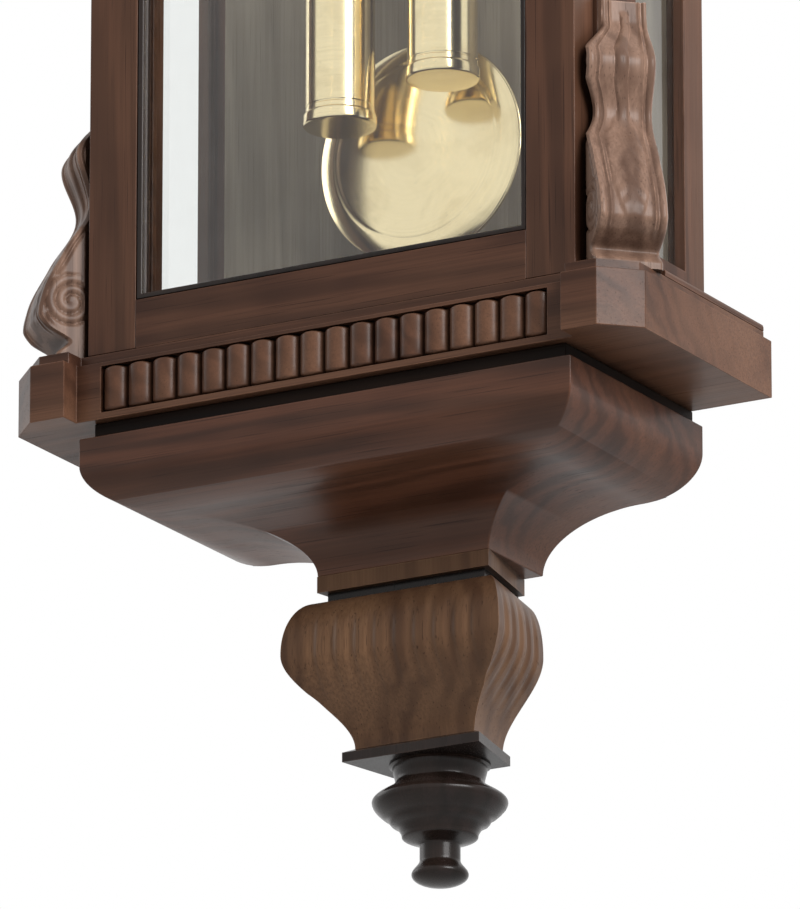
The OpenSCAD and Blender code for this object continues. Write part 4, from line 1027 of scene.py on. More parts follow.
@dataclass
class DressedNodes:
    """CAD pieces whose shape is right: they keep it, and get a finish and rounded edges."""

    edge: float = 0.7

    def finish(self, name: str, finish: Finish, bevel: float = 0.0) -> None:
        """Gives one CAD node its finish.

        Args:
            name: The node.
            finish: Its finish.
            bevel: Width of the rounding on its edges in millimetres, or 0 for none.
        """
        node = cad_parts[name]
        node.data.materials.clear()
        node.data.materials.append(finish.material())
        if bevel:
            node.modifiers.new("Joined corners", "WELD").merge_threshold = 2e-6
            round_edges(node, bevel)
        log.info("%s: finished in %s", name, finish.name)

    def build(self) -> None:
        """Finishes every node that no new piece stands for."""
        f = Finishes
        table: list[tuple[Finish, float, tuple[str, ...]]] = [
            # The backboard's pale finish is painted light.
            (f.inner, 0.0, ("backboard",)),
            (f.stile, self.edge, ("side_frame_left", "side_frame_right", "door_stile_left",
                                  "door_stile_right")),
            (f.rail, self.edge, ("plinth_slab", "door_rail_top", "door_rail_bottom",
                                 "top_board", "cornice", "pediment", "glass_beads")),
            (f.side, self.edge, ("side_skirts",)),
            (f.glass, 0.0, ("door_glass", "side_glasses")),
            (f.hinge, 0.25, ("hanger_plate", "steady_screws", "case_hinge_leaves",
                             "door_hinge_leaves")),
            (f.brass, 0.0, ("door_knob", "pulley_left", "pulley_right", "rating_nut")),
            (f.plate, 0.0, ("back_plate", "front_plate", "plate_pillars", "suspension_cock",
                            "centre_wheel", "third_wheel", "escape_wheel", "minute_wheel",
                            "hour_wheel", "great_wheel_time", "drum_time", "drum_strike")),
            (f.steel, 0.0, ("anchor", "hammer", "suspension_spring")),
            (f.iron, 0.5, ("movement_bracket",)),
            (f.rings, 0.0, ("dial_bezel",)),
            (f.rod, 0.0, ("pendulum_rod",)),
        ]
        for finish, bevel, names in table:
            for name in names:
                self.finish(name, finish, bevel)


@dataclass
class Frieze:
    """The row of upright reeds let into the slab's front, each with a rounded head and foot."""

    half: float = 180.0
    pitch: float = 20.0
    low: float = 5.0
    high: float = 39.0
    front: float = 194.0
    back: float = 184.8
    thick: float = 1.5
    end: float = 3.0

    def build(self) -> None:
        """Each reed is half round across its pitch and falls in a quarter round at its ends."""
        x = np.linspace(-self.half, self.half, int(2 * self.half / self.pitch) * 16 + 1)
        e = self.end
        z = np.concatenate([self.low + e * (1 - np.cos(np.linspace(0, np.pi / 2, 9))),
                            np.linspace(self.low + e, self.high - e, 5)[1:-1],
                            self.high - e * (1 - np.cos(np.linspace(np.pi / 2, 0, 9)))])
        u = (np.mod(x + self.half, self.pitch) / self.pitch * 2 - 1)[None, :]
        v = 1 - np.clip(np.minimum(z - self.low, self.high - z)[:, None] / e, 0, 1)
        rise = np.sqrt(np.clip(1 - u * u - 0.96 * v * v, 0.0, 1))
        y = -(self.back + (self.front - self.back) * rise)
        rows = together(x, y, z[:, None])
        back = rows.copy()
        back[..., 1] = self.thick - self.back
        form = Form()
        form.grid(np.concatenate([back[:1], rows, back[-1:]]), wrap=False, ends=False)
        form.grid(back[[-1, 0]], wrap=False, ends=False)
        form.make("frieze_reeds", "case", [Finishes.side], "walnut", ("reeded_fascia",),
                  angle=50)


@dataclass
class BaseMoulding:
    """The neck, edge, swelling and hollow of the base under the slab."""

    half: float = 198.0
    depth: float = 192.0
    neck: float = 12.0
    neck_in: float = 8.0
    edge: float = 20.0
    swell: Pair = (48.0, 30.0)
    hollow: float = 41.0
    foot: Pair = (69.36, 79.0)

    def outline(self) -> np.ndarray:
        """The base in front view: edge, quarter round and quarter hollow.

        Returns:
            Rows of half width and height.
        """
        top = -self.neck - self.edge
        low = top - self.swell[1] - self.hollow
        inner = self.half - self.swell[0]
        return np.vstack([[[self.half, -self.neck]], arc((inner, top), self.swell, 0, -88, 22),
                          arc((inner, low), (inner - self.foot[0], self.hollow), 91, 180, 26)])

    def build(self) -> None:
        """The depth follows the half width in a straight line, so that the corners mitre."""
        line = self.outline()
        share = (line[:, 0] - self.foot[0]) / (self.half - self.foot[0])
        depth = self.foot[1] + share * (self.depth - self.foot[1])
        neck = together(self.half - self.neck_in, self.depth - self.neck_in, [0.0, -self.neck])
        form = Form()
        form.grid(moulded(together(line[:, 0], depth, line[:, 1]))[::-1])
        # The neck takes the near-black finish: a painted shadow under the slab.
        form.grid(moulded(neck)[::-1], slot=1)
        form.make("base_moulding", "case", [Finishes.base, Finishes.shade], "walnut",
                  ("ogee_base",), bevel=1.0, angle=40)


@dataclass
class Pendant:
    """The block under the base, its groove, and the swelling with upright flutes."""

    splay: float = 11.0
    top: float = -103.0
    block: Pair = (54.0, 79.0)
    groove: Pair = (-115.0, -123.0)
    bulge: Pair = (69.0, 98.0)
    bulge_mid: float = -162.0
    bulge_low: float = -228.0
    foot: Pair = (36.0, 62.0)
    lip: float = 6.0
    sunk: float = 5.0
    flute: float = 16.0
    cut: float = 1.7
    flat: float = 0.35
    front_end: Pair = (62.0, 70.0)
    side_start: Pair = (4.0, 12.0)
    side_end: Pair = (84.0, 92.0)

    def swelling(self) -> np.ndarray:
        """The swelling in front view: a round shoulder over a long sweep.

        The depth goes from the block's to the bulge's and on to the foot's in step with the
        half width.

        Returns:
            Rows of half width, depth and height.
        """
        up = self.groove[1] - self.bulge_mid
        shoulder = arc((self.block[0], self.bulge_mid), (self.bulge[0] - self.block[0], up),
                       90, 2, 30)
        run = np.vstack([shoulder, eased_run(np.array([[self.bulge_mid - 1, self.bulge[0]],
                                                       [self.bulge_low, self.foot[0]]]), 60)])
        upper = (run[:, 0] - self.block[0]) / (self.bulge[0] - self.block[0])
        lower = (run[:, 0] - self.foot[0]) / (self.bulge[0] - self.foot[0])
        depth = np.where(run[:, 1] >= self.bulge_mid,
                         self.block[1] + upper * (self.bulge[1] - self.block[1]),
                         self.foot[1] + lower * (self.bulge[1] - self.foot[1]))
        return together(run[:, 0], depth, run[:, 1])

    def flutes(self, place: np.ndarray) -> np.ndarray:
        """Depth of the flutes: a wave whose low parts are cut flat.

        Args:
            place: Distance along the face.

        Returns:
            The depth there.
        """
        wave = np.clip(np.cos(2 * np.pi * place / self.flute), -self.flat, 1) + self.flat
        return self.cut / (1 + self.flat) * wave

    def build(self) -> None:
        """Flutes press the faces in and fade above, below and at the corners."""
        half, depth = self.block
        high, low = self.groove
        form = Form()
        for slot, sunk, levels in ((0, 0.0, (self.top, high)), (1, self.sunk, (high, low))):
            rows = together(half - sunk, depth - sunk, levels)
            form.grid(moulded(rows, self.splay)[::-1], slot)
        across, deep = 121, 73
        swelling = self.swelling()
        rows = moulded(swelling, self.splay, across, deep)
        height = rows[..., 2]
        fade = soft(height, self.bulge_low + 14, self.bulge_mid - 10) * (
            1 - soft(height, self.bulge_mid + 6, low - 5))
        front = slice(deep - 1, deep - 1 + across)
        x = rows[:, front, 0]
        inside = 1 - soft(np.abs(x), *self.front_end)
        rows[:, front, 1] += self.flutes(x) * inside * fade[:, front]
        for part, sign in ((slice(0, deep), 1.0), (slice(deep + across - 2, None), -1.0)):
            y = rows[:, part, 1]
            inside = soft(-y, *self.side_start) * (1 - soft(-y, *self.side_end))
            rows[:, part, 0] += sign * self.flutes(y) * inside * fade[:, part]
        rows[..., 1] = np.minimum(rows[..., 1], 0)
        form.grid(rows[::-1])
        wide, out = np.array(self.foot) + self.lip
        lip = together(wide, out, [self.bulge_low - self.lip / 2, self.bulge_low - 10])
        form.grid(moulded(np.vstack([swelling[-1:], lip]), self.splay)[::-1], slot=1)
        form.make("pendant_carving", "case", [Finishes.block, Finishes.black], "walnut",
                  ("pendant_block",), angle=46)


@dataclass
class EndFinial:
    """The turned knob that ends the case below, flat against the wall."""

    axis: float = 26.0
    r: float = 48.0
    high: float = 88.0
    keys_high: float = 84.0
    top: float = -238.0
    bead: float = -42.5

    def build(self) -> None:
        """A turning through the CAD's rings, with a fine bead between two quirks."""
        keys = np.array([[-2, 0.7], [-12, 0.66], [-26, 1.0], [-50, 0.56], [-56, 0.3],
                         [-66, 0.3], [-76, 0.42]]) * np.array([self.high / self.keys_high,
                                                               self.r])
        low, foot = keys[-1]
        run = np.vstack([[[0.3, 0.0], [self.r * 0.74, 0.0], [self.r * 0.745, -1.2]],
                         eased_run(keys, 16),
                         arc((0, low), (foot, self.high + low), 0, -88, 10)])
        z = run[:, 1]
        bead = 1.3 * hill(z, self.bead, 1.1)
        bead -= 1.2 * hill(z, self.bead + 3, 0.8)
        bead -= 1.2 * hill(z, self.bead - 3, 0.8)
        run[:, 0] += np.where(run[:, 0] > 5, bead, 0)
        form = Form()
        form.turned(run[::-1], (0, -self.axis, self.top), sides=128, flat_back=True)
        form.make("end_finial_turning", "case", [Finishes.black], "black_wood",
                  ("end_finial",), angle=44)


@dataclass
class Console:
    """A corner scroll: an S curve in side view, carved on its face and its cheeks.

    Its loops are laid out from the case's corner: r runs outwards along the diagonal and w
    across it. The case's side is at case_half and its front at case_front; the door's edge
    stands door_over proud of the side.
    """

    side: float
    height: float = 208.0
    foot: float = 50.0
    turned_over: bool = False
    half: float = 25.0
    lobe: float = 63.0
    waist: float = 25.0
    crook: float = 36.0
    case_half: float = 200.0
    case_front: float = 154.0
    door_over: float = 3.0
    clear: float = 0.05
    corner: float = 139.0
    narrow: float = 7.4
    least: float = 8.5
    past_door: float = 4.3
    arris: float = 3.0

    def face(self, z: np.ndarray) -> np.ndarray:
        """The scroll's S curve.

        Args:
            z: Height above the console's foot.

        Returns:
            Reach of the face from the corner there.
        """
        h, lobe, waist = self.height, self.lobe, self.waist
        keys = np.array([[0, lobe - 13], [h * 0.02, lobe - 13], [h * 0.07, lobe - 22],
                         [h * 0.125, lobe - 5], [h * 0.165, lobe], [h * 0.24, lobe - 3],
                         [h * 0.40, lobe * 0.70], [h * 0.58, waist], [h * 0.75, self.crook],
                         [h * 0.93, waist * 0.55], [h, waist * 0.5]])
        return flowing(keys, z)

    def face_carving(self, t: np.ndarray, z: np.ndarray) -> np.ndarray:
        """Depth cut into the face: rounded arrises, two quirks, a middle reed and a leaf.

        Args:
            t: Place across the face from -1 to 1.
            z: Height above the console's foot.

        Returns:
            The depth in millimetres.
        """
        w, r = np.abs(t) * self.half, self.arris
        arris = r - np.sqrt(np.clip(r * r - np.clip(w - self.half + r, 0, r) ** 2, 0, r * r))
        depth = arris + 1.9 * hill(w, 18.2, 1.5) + 1.5 * (1 - soft(w, 13.5, 17.0))
        k = z / self.height
        band = soft(k, 0.13, 0.2) * (1 - soft(k, 0.5, 0.62))
        wide = 14.5 * np.sin(np.pi * np.clip((k - 0.11) / 0.52, 0, 1)) ** 0.6
        leaf = 1 - soft(w, wide - 2.2, wide)
        veins = 0.5 + 0.5 * np.cos(2 * np.pi * (k * 15 + w / 11))
        depth = depth - band * leaf * (1.5 - 0.55 * veins * (1 - hill(w, 0.0, 3.0)))
        reed = np.sqrt(np.clip(1 - (w / 5.0) ** 2, 0, 1))
        depth -= 2.2 * reed * soft(k, 0.5, 0.62) * (1 - soft(k, 0.93, 0.97))
        foot = 1 - soft(z, 20.0, 25.0)
        return depth * (1 - foot) + foot * arris

    def cheek_carving(self, r: np.ndarray, z: np.ndarray, reach: np.ndarray) -> np.ndarray:
        """Depth cut into a cheek: a spiral quirk in the lobe and a line inside the outline.

        Args:
            r: Distance from the corner along the diagonal.
            z: Height above the console's foot.
            reach: The face's distance there.

        Returns:
            The depth in millimetres.
        """
        x, up = r - (self.lobe - 24), z - self.height * 0.215
        rho, turn = np.hypot(x, up), np.arctan2(up, x) / (2 * np.pi)
        part = np.mod(rho / 7.5 - turn, 1.0)
        spiral = hill(part, 0.5, 0.17) * (1 - soft(rho, 19, 21)) * soft(rho, 2, 4)
        line = hill(reach - r, 5.5, 1.3) * soft(z, 24, 30) * (1 - 0.9 * (rho < 21))
        return 1.5 * spiral + 1.1 * line

    def build(self, form: Form) -> None:
        """Adds the console's closed loops in plan, one for each height.

        Args:
            form: The form that takes them.
        """
        z = np.linspace(0, self.height, 150)[:, None]
        reach = self.face(z)
        t = np.linspace(1, -1, 41)[None, :]
        # Where the face lies near the corner the far cheek comes in, so that no loop crosses
        # itself. A point of the face is never nearer to the corner than its start, which on
        # the far side lies past_door out, clear of the door's edge.
        far_edge = np.clip(self.narrow - reach, -self.half, -self.least)
        w = (self.half + far_edge) / 2 + t * (self.half - far_edge) / 2
        start = np.where(w < 0.01 - self.least, self.past_door - w, -w + 0.06)
        r_face = np.maximum(reach - self.face_carving(t, z), start)
        first = np.linspace(0, 1, 26)[None, :-1]
        r_near = start[:, :1] + (r_face[:, :1] - start[:, :1]) * first
        r_far = start[:, -1:] + (r_face[:, -1:] - start[:, -1:]) * first[:, ::-1]
        near_w = self.half - self.cheek_carving(r_near, z, reach)
        far_w = far_edge + self.cheek_carving(r_far, z, reach)
        r = np.concatenate([r_near, r_face, r_far], 1)
        across = np.concatenate([near_w, w, far_w], 1)
        s = math.sqrt(0.5)
        x = self.case_half + s * r + s * across
        y = -self.corner - s * r + s * across
        beside = self.case_half + self.clear
        before = beside + self.door_over
        x = np.maximum(x, np.where(y < -self.case_front, before, beside))
        inner = np.tile([[before, -self.case_front - 0.2], [beside, -self.case_front + 0.1]],
                        (len(z), 1, 1))
        plan = np.concatenate([together(x, y), inner], 1)
        up = self.foot + (self.height - z if self.turned_over else z)
        form.grid(together(self.side * plan[..., 0], plan[..., 1], up))


@dataclass
class Consoles:
    """The two lower consoles, and the two under the cornice, which are turned over."""

    upper_height: float = 156.0
    upper_foot: float = 756.0

    def build(self) -> None:
        """Makes a piece of each lower console and one piece of the upper pair."""
        for name, side in (("console_left", -1.0), ("console_right", 1.0)):
            form = Form()
            Console(side).build(form)
            form.make(f"{name}_carving", "case", [Finishes.carved], "walnut", (name,),
                      angle=38)
        form = Form()
        for side in (-1.0, 1.0):
            Console(side, self.upper_height, self.upper_foot, turned_over=True).build(form)
        form.make("upper_console_carvings", "case", [Finishes.carved], "walnut",
                  ("upper_consoles",), angle=38)


@dataclass
class Crown:
    """Turned finials on the crown, and the carving on the pediment."""

    cornice_top: float = 968.0
    urn_r: float = 20.0
    ped_front: float = 176.5
    ped_thick: float = 24.0
    ped_half: float = 196.0
    ped_low: float = 34.0
    shoulder: float = 20.0
    round_high: float = 132.0
    round_r: float = 62.0
    boss_r: float = 40.0
    boss_proud: float = 7.9
    bead_in: float = 7.0
    bead_r: float = 2.4
    crest_high: float = 74.0
    urn_high: float = 92.0
    urn_at: Pair = (226.0, -180.5)

    def urn(self, form: Form, h: float, centre: Point) -> None:
        """A finial: foot, waist, fluted body, neck and tip.

        Args:
            form: The form that takes it.
            h: Its height.
            centre: Where it stands.
        """
        r, sides, flutes = self.urn_r, 96, 16
        keys = np.array([[h * 0.08, r * 0.8], [h * 0.16, r * 0.42], [h * 0.24, r * 0.5],
                         [h * 0.46, r], [h * 0.62, r * 0.36], [h * 0.7, r * 0.36],
                         [h * 0.82, r * 0.52], [h * 0.97, r * 0.12]])
        run = np.vstack([[[0.2, 0], [r * 0.78, 0], [r * 0.8, 0.6]], eased_run(keys, 10),
                         [[r * 0.05, h * 0.992], [SMALL, h]]])
        a = np.linspace(0, 2 * np.pi, sides, endpoint=False)
        k = run[:, 1] / h
        body = (soft(k, 0.22, 0.3) * (1 - soft(k, 0.44, 0.52)))[:, None]
        radius = run[:, 0, None] * (1 - 0.055 * body * (0.5 - 0.5 * np.cos(flutes * a)))
        form.grid(together(radius * np.cos(a), radius * np.sin(a), run[:, 1, None]) + centre)

    def build(self) -> None:
        """Makes the finials, then the rosette and the edge bead of the pediment."""
        form = Form()
        crest = math.asin((self.urn_r * 0.8 + 1) / self.round_r)
        top = self.cornice_top + self.round_high - self.round_r * (1 - math.cos(crest))
        self.urn(form, self.crest_high, (0.0, -self.ped_front + self.ped_thick / 2, top))
        x, y = self.urn_at
        for side in (-1.0, 1.0):
            self.urn(form, self.urn_high, (side * x, y, self.cornice_top))
        form.make("crown_finials", "case", [Finishes.black], "black_wood", ("top_finials",),
                  angle=44)
        self.rosette()
        self.edge_bead()

    def rosette(self) -> None:
        """Petals on the boss: a disc whose height waves round it and swells outwards."""
        centre, petals = self.cornice_top + self.round_high - self.round_r, 12
        a = np.linspace(0, 2 * np.pi, 16 * petals, endpoint=False)[None, :]
        u = np.linspace(0, 1, 44)[:, None]
        outer = self.boss_r * (1 - 0.09 * (0.5 - 0.5 * np.cos(petals * a)))
        r = 0.4 + u * (outer - 0.4)
        round_petal = 0.35 + 0.65 * np.sqrt(np.abs(np.cos(petals / 2 * a)))
        swell = np.sin(np.pi * np.clip(u * 1.06 - 0.03, 0, 1)) ** 0.7
        button = np.sqrt(np.clip(1 - (u / 0.25) ** 2, 0, 1))
        rise = 1.2 + 5.3 * swell * round_petal * soft(u, 0.22, 0.34) + 6.0 * button
        front = self.ped_front + self.boss_proud
        rows = together(r * np.cos(a), -(front + rise * (1 - soft(u, 0.96, 1.0))),
                        centre + r * np.sin(a))
        rim = rows[-1:].copy()
        rim[..., 1] = -(front - 1)
        form = Form()
        form.grid(np.concatenate([rim, rows[::-1]]))
        form.make("crown_rosette", "case", [Finishes.carved], "walnut", angle=60)

    def edge_bead(self) -> None:
        """A half-round bead that follows the pediment's outline, a little inside it."""
        inset, low, r = self.bead_in, self.ped_low, self.round_r
        out, rise = self.ped_half - self.shoulder, self.round_high - r - low
        hollow = arc((out, low + rise), (out - r + inset * 0.4, rise + inset), 268, 183, 30)
        head = arc((0.0, self.round_high - r), (r - inset, r - inset), 6, 90, 26)
        edge = self.ped_half - inset
        right = np.vstack([[[edge, 6.0], [edge, low - inset]], hollow, head])
        path = np.vstack([right, (right * np.array([-1.0, 1.0]))[::-1][1:]])
        step = np.hypot(*np.diff(path, axis=0).T)
        place = np.concatenate([[0], np.cumsum(step)])
        even = np.linspace(0, place[-1], 260)
        x, z = np.interp(even, place, path[:, 0]), np.interp(even, place, path[:, 1])
        form = Form()
        form.tube(together(x, -self.ped_front, self.cornice_top + z), self.bead_r, 14)
        form.make("crown_edge_bead", "case", [Finishes.black], "black_wood")


@dataclass
class DoorTrim:
    """The moulded slip round the door's glass: a bead and a hollow, mitred at the corners."""

    glass_half: float = 158.0
    low: float = 87.5
    high: float = 862.5
    front: float = 182.5

    def build(self) -> None:
        """A profile carried round the opening: its offset inwards and its distance forwards."""
        profile = np.vstack([[[0.2, -10.0], [0.2, -1.2]],
                             arc((2.4, -2.2), (2.2, 2.2), 180, -10, 10),
                             arc((8.6, -9.0), (4.6, 4.6), 125, 178, 6),
                             [[4.0, -12.0], [0.2, -12.0]]])
        corners = np.array([[-1, -1], [1, -1], [1, 1], [-1, 1], [-1, -1]], float)
        rows = []
        for cx, cz in corners:
            x = cx * (self.glass_half - profile[:, 0])
            z = np.where(cz < 0, self.low + profile[:, 0], self.high - profile[:, 0])
            rows.append(together(x, -(self.front + profile[:, 1]), z))
        form = Form()
        form.grid(np.array(rows), ends=False)
        form.make("door_glass_slip", "door", [Finishes.black], "black_wood", angle=50)


@dataclass
class HingeScrews:
    """Slotted brass screw heads on the hinge leaves at the side of the case."""

    face: float = 202.2
    r: float = 2.7
    rise: float = 0.45
    slit: float = 0.7
    leaves: Pair = (298.0, 662.0)
    places: tuple[Pair, ...] = ((-145.0, 10.0), (-145.0, 44.0), (-129.0, 27.0))
    first: float = 20.0
    turn: float = 47.0
    sunk: float = 0.05

    def build(self) -> None:
        """Each head is two half discs with the slit between them, each turned further."""
        form = Form()
        edge = math.degrees(math.asin(self.slit / 2 / self.r))
        spots = [(y, low + up) for low in self.leaves for y, up in self.places]
        for number, (y, s) in enumerate(spots):
            for side in (0.0, 180.0):
                half = arc((0.0, 0.0), (self.r, self.r), side + edge, side + 180.0 - edge, 16)
                half = half @ turning(self.first + self.turn * number)
                ring = together(self.face - self.sunk, y + half[:, 0], s + half[:, 1])
                form.grid(np.stack([ring, ring + [self.rise + self.sunk, 0.0, 0.0]]))
        form.make("hinge_screws", "case", [Finishes.hinge], "polished_brass", bevel=0.15)


@dataclass
class Weight:
    """A brass-cased weight with rims, a domed crown, a stem and the fork for its pulley."""

    name: str
    body: str
    x: float
    low: float
    node: str
    r: float = 25.0
    rim: float = 1.5
    long: float = 150.0
    sheave_up: float = 40.0
    sheave: float = 16.5
    yoke: float = 3.9
    cheek: float = 1.6

    def shell(self) -> np.ndarray:
        """The shell's profile from the rounded foot to the middle of the crown.

        Returns:
            Rows of radius and height.
        """
        r, rim, long = self.r, self.rim, self.long
        foot = np.vstack([[[0.2, 0.0], [r - 4, 0.0]], arc((r - 0.5, 2.0), (2.0, 2.0), -90, 0, 6),
                          [[r + rim, 7.2]], arc((r + rim - 1.0, 7.2), (1.0, 1.6), 0, 80, 4),
                          [[r, 9.4], [r, 12.5], [r - 0.5, 13.1], [r - 0.5, 13.9], [r, 14.5]]])
        body = together(r, np.linspace(18, long - 18, 9))
        head = np.vstack([[[r, long - 14.5], [r - 0.5, long - 13.9], [r - 0.5, long - 13.1],
                           [r, long - 12.5], [r, long - 9.4]],
                          arc((r + rim - 1.0, long - 7.6), (1.0, 1.6), -80, 0, 4),
                          [[r + rim, long - 3.6]],
                          arc((0.0, long - 3.2), (r + rim - 0.6, 6.2), 6, 86, 16),
                          [[0.2, long + 3]]])
        return np.vstack([foot, body, head])

    def build(self) -> None:
        """Turns the shell and sets the stem, the fork and its pin on the crown."""
        form = Form()
        at = (self.x, DROP_Y, self.low)
        form.turned(self.shell(), at, sides=120)
        top, axle = self.long, self.long + self.sheave_up
        fork = axle - self.sheave - 7
        stem = np.array([[SMALL, top + 2], [5.6, top + 2.2], [5.8, top + 4.0], [4.4, top + 5.4],
                         [3.0, top + 6.6], [3.0, fork - 2.4], [4.2, fork - 1.0],
                         [4.2, fork + 0.4], [SMALL, fork + 0.4]])
        form.turned(stem, at, sides=40)
        prong = np.vstack([[[-4.0, fork], [4.0, fork]],
                           arc((0.0, axle), (4.0, 6.0), 0, 180, 14)])
        out = self.yoke + self.cheek
        for near in (-out, self.yoke):
            form.plate(prong, near, near + self.cheek, at)
        form.plate(box((-5, -out), (5, out)), fork, fork + 4, at, plane="xy")
        form.pin((self.x, DROP_Y + out, self.low + axle), 2.0, 2 * out)
        form.make(self.name, self.body, [Finishes.brass], "polished_brass", (self.node,),
                  angle=30)


@dataclass
class Bob:
    """The lens of the pendulum: spun brass with a turned rim and a ring near its edge."""

    y: float = -52.0
    r: float = 82.0
    thick: float = 28.0
    rim: float = 2.6
    roll: float = 2.2
    rolled_from: float = 69.0
    ring: float = 66.0
    ring_cut: Pair = (0.45, 0.9)

    def build(self) -> None:
        """Half the thickness falls with the square of the radius, and faster at the edge."""
        blunt = self.rim / 2
        r = np.concatenate([[0.2], np.linspace(2, self.r - blunt, 56)])
        half = blunt + (self.thick / 2 - blunt - self.roll) * (1 - (r / self.r) ** 2)
        past = np.clip(r - self.rolled_from, 0, None) / (self.r - self.rolled_from)
        deep, wide = self.ring_cut
        half += self.roll * (1 - past ** 2) - deep * hill(r, self.ring, wide)
        edge = arc((self.r - blunt, 0.0), (blunt, blunt), 90, 0, 6)[1:]
        front = np.vstack([together(r, half), edge])
        back = front[::-1][1:] * np.array([1.0, -1.0])
        form = Form()
        form.turned(np.vstack([front, back])[::-1], (0.0, self.y, BOB_S), along_y=True,
                    sides=160)
        form.make("pendulum_lens", "pendulum", [Finishes.bob], "polished_brass", ("bob",),
                  angle=38)


class Stroke(Enum):
    """The strokes of a Roman numeral's letters, in shares of its height.

    Each letter has its width, its bars as (foot, head, thickness) and its serifs as (middle,
    width, at the head). Places are measured from the letter's middle.
    """

    I = (0.30, ((0.0, 0.0, 0.17),), ((0.0, 0.30, False), (0.0, 0.30, True)))
    V = (0.74, ((0.02, -0.23, 0.17), (0.04, 0.23, 0.05)),
         ((-0.23, 0.34, True), (0.23, 0.26, True)))
    X = (0.74, ((0.23, -0.23, 0.17), (-0.23, 0.23, 0.05)),
         ((-0.23, 0.3, False), (0.23, 0.3, False), (-0.23, 0.3, True), (0.23, 0.3, True)))


@dataclass
class DialFace:
    """The enamel dial with its numerals, its minute track and the winding holes."""

    back: float = 131.0
    front: float = 133.0
    r: float = 92.0
    track: float = 80.0
    track_wide: float = 4.4
    numeral_in: float = 56.0
    numeral_out: float = 75.0
    serif: float = 0.05
    ink: Pair = (-0.05, 0.14)
    bore: float = 5.6
    hole: tuple[float, float, float] = (38.0, -10.0, 5.4)
    feet: tuple[Pair, ...] = ((-58, -38), (58, -38), (0, 62))
    texts: tuple[str, ...] = ("XII", "I", "II", "III", "IIII", "V", "VI", "VII", "VIII", "IX",
                              "X", "XI")

    def numeral(self, text: str) -> list[np.ndarray]:
        """Outlines of one numeral, upright about the origin, with a height of 1.

        Args:
            text: Its letters.

        Returns:
            A list of closed outlines.
        """
        strokes = [Stroke[letter].value for letter in text]
        x = -sum(wide for wide, _, _ in strokes) / 2
        end = 0.5 - self.serif
        shapes: list[np.ndarray] = []
        for wide, bars, serifs in strokes:
            mid = x + wide / 2
            for foot, head, thick in bars:
                at = mid + np.array([foot, foot, head, head])
                at += thick / 2 * np.array([-1, 1, 1, -1])
                shapes.append(together(at, [-end, -end, end, end]))
            for place, across, high in serifs:
                low = end if high else -0.5
                shapes.append(box((mid + place - across / 2, low),
                                  (mid + place + across / 2, low + self.serif)))
            x += wide
        return shapes

    def marks(self) -> list[np.ndarray]:
        """Sets the numerals and the minute track's marks round the dial.

        Returns:
            A list of closed outlines about the dial's middle.
        """
        shapes: list[np.ndarray] = []
        high = self.numeral_out - self.numeral_in
        middle = (self.numeral_out + self.numeral_in) / 2
        for hour, text in enumerate(self.texts):
            squeeze = 0.86 if len(text) > 3 else 1.0
            size = np.array([high * 0.62 * squeeze, high])
            shapes += [(outline * size + [0, middle]) @ turning(-30 * hour)
                       for outline in self.numeral(text)]
        for minute in range(60):
            w = 1.0 if minute % 5 == 0 else 0.35
            shapes.append(box((-w, self.track), (w, self.track + self.track_wide))
                          @ turning(6 * minute))
        return shapes

    def build(self) -> None:
        """Turns the enamel disc and lays the painted marks and the collars on it."""
        form = Form()
        front = together(np.linspace(self.bore + 0.6, self.r, 30), self.front - self.back)
        bore = [[self.bore, 0.0], [self.bore, 1.6], [self.bore + 0.3, 2.0]]
        form.turned(np.vstack([bore, front, [[self.r, 0.0]]])[::-1],
                    (0.0, -self.back, DIAL_S), along_y=True, sides=180, ring=True)
        for x, z in self.feet:
            form.pin((x, -120.0, DIAL_S + z), 2.5, 11.5)
        near, away = np.array(self.ink) + self.front
        for outline in self.marks():
            form.plate(outline, near, away, (0.0, 0.0, DIAL_S), slot=1)
        for radius in (self.track, self.track + self.track_wide):
            form.turned(box((radius - 0.2, 0), (radius + 0.2, away - near)),
                        (0.0, -near, DIAL_S), along_y=True, sides=180, slot=1, ring=True)
        x, z, hole = self.hole
        collar = np.array([[hole - 1.6, 0], [hole - 1.6, 0.5], [hole - 0.8, 1.0],
                           [hole + 0.6, 1.0], [hole + 1.2, 0.4], [hole + 1.2, 0]])
        for side in (-1.0, 1.0):
            form.turned(collar, (side * x, -near, DIAL_S + z), along_y=True, sides=48, slot=2,
                        ring=True)
        form.make("dial_face", "case", [Finishes.enamel, Finishes.numeral, Finishes.rings],
                  "enamel", ("dial",), angle=40)


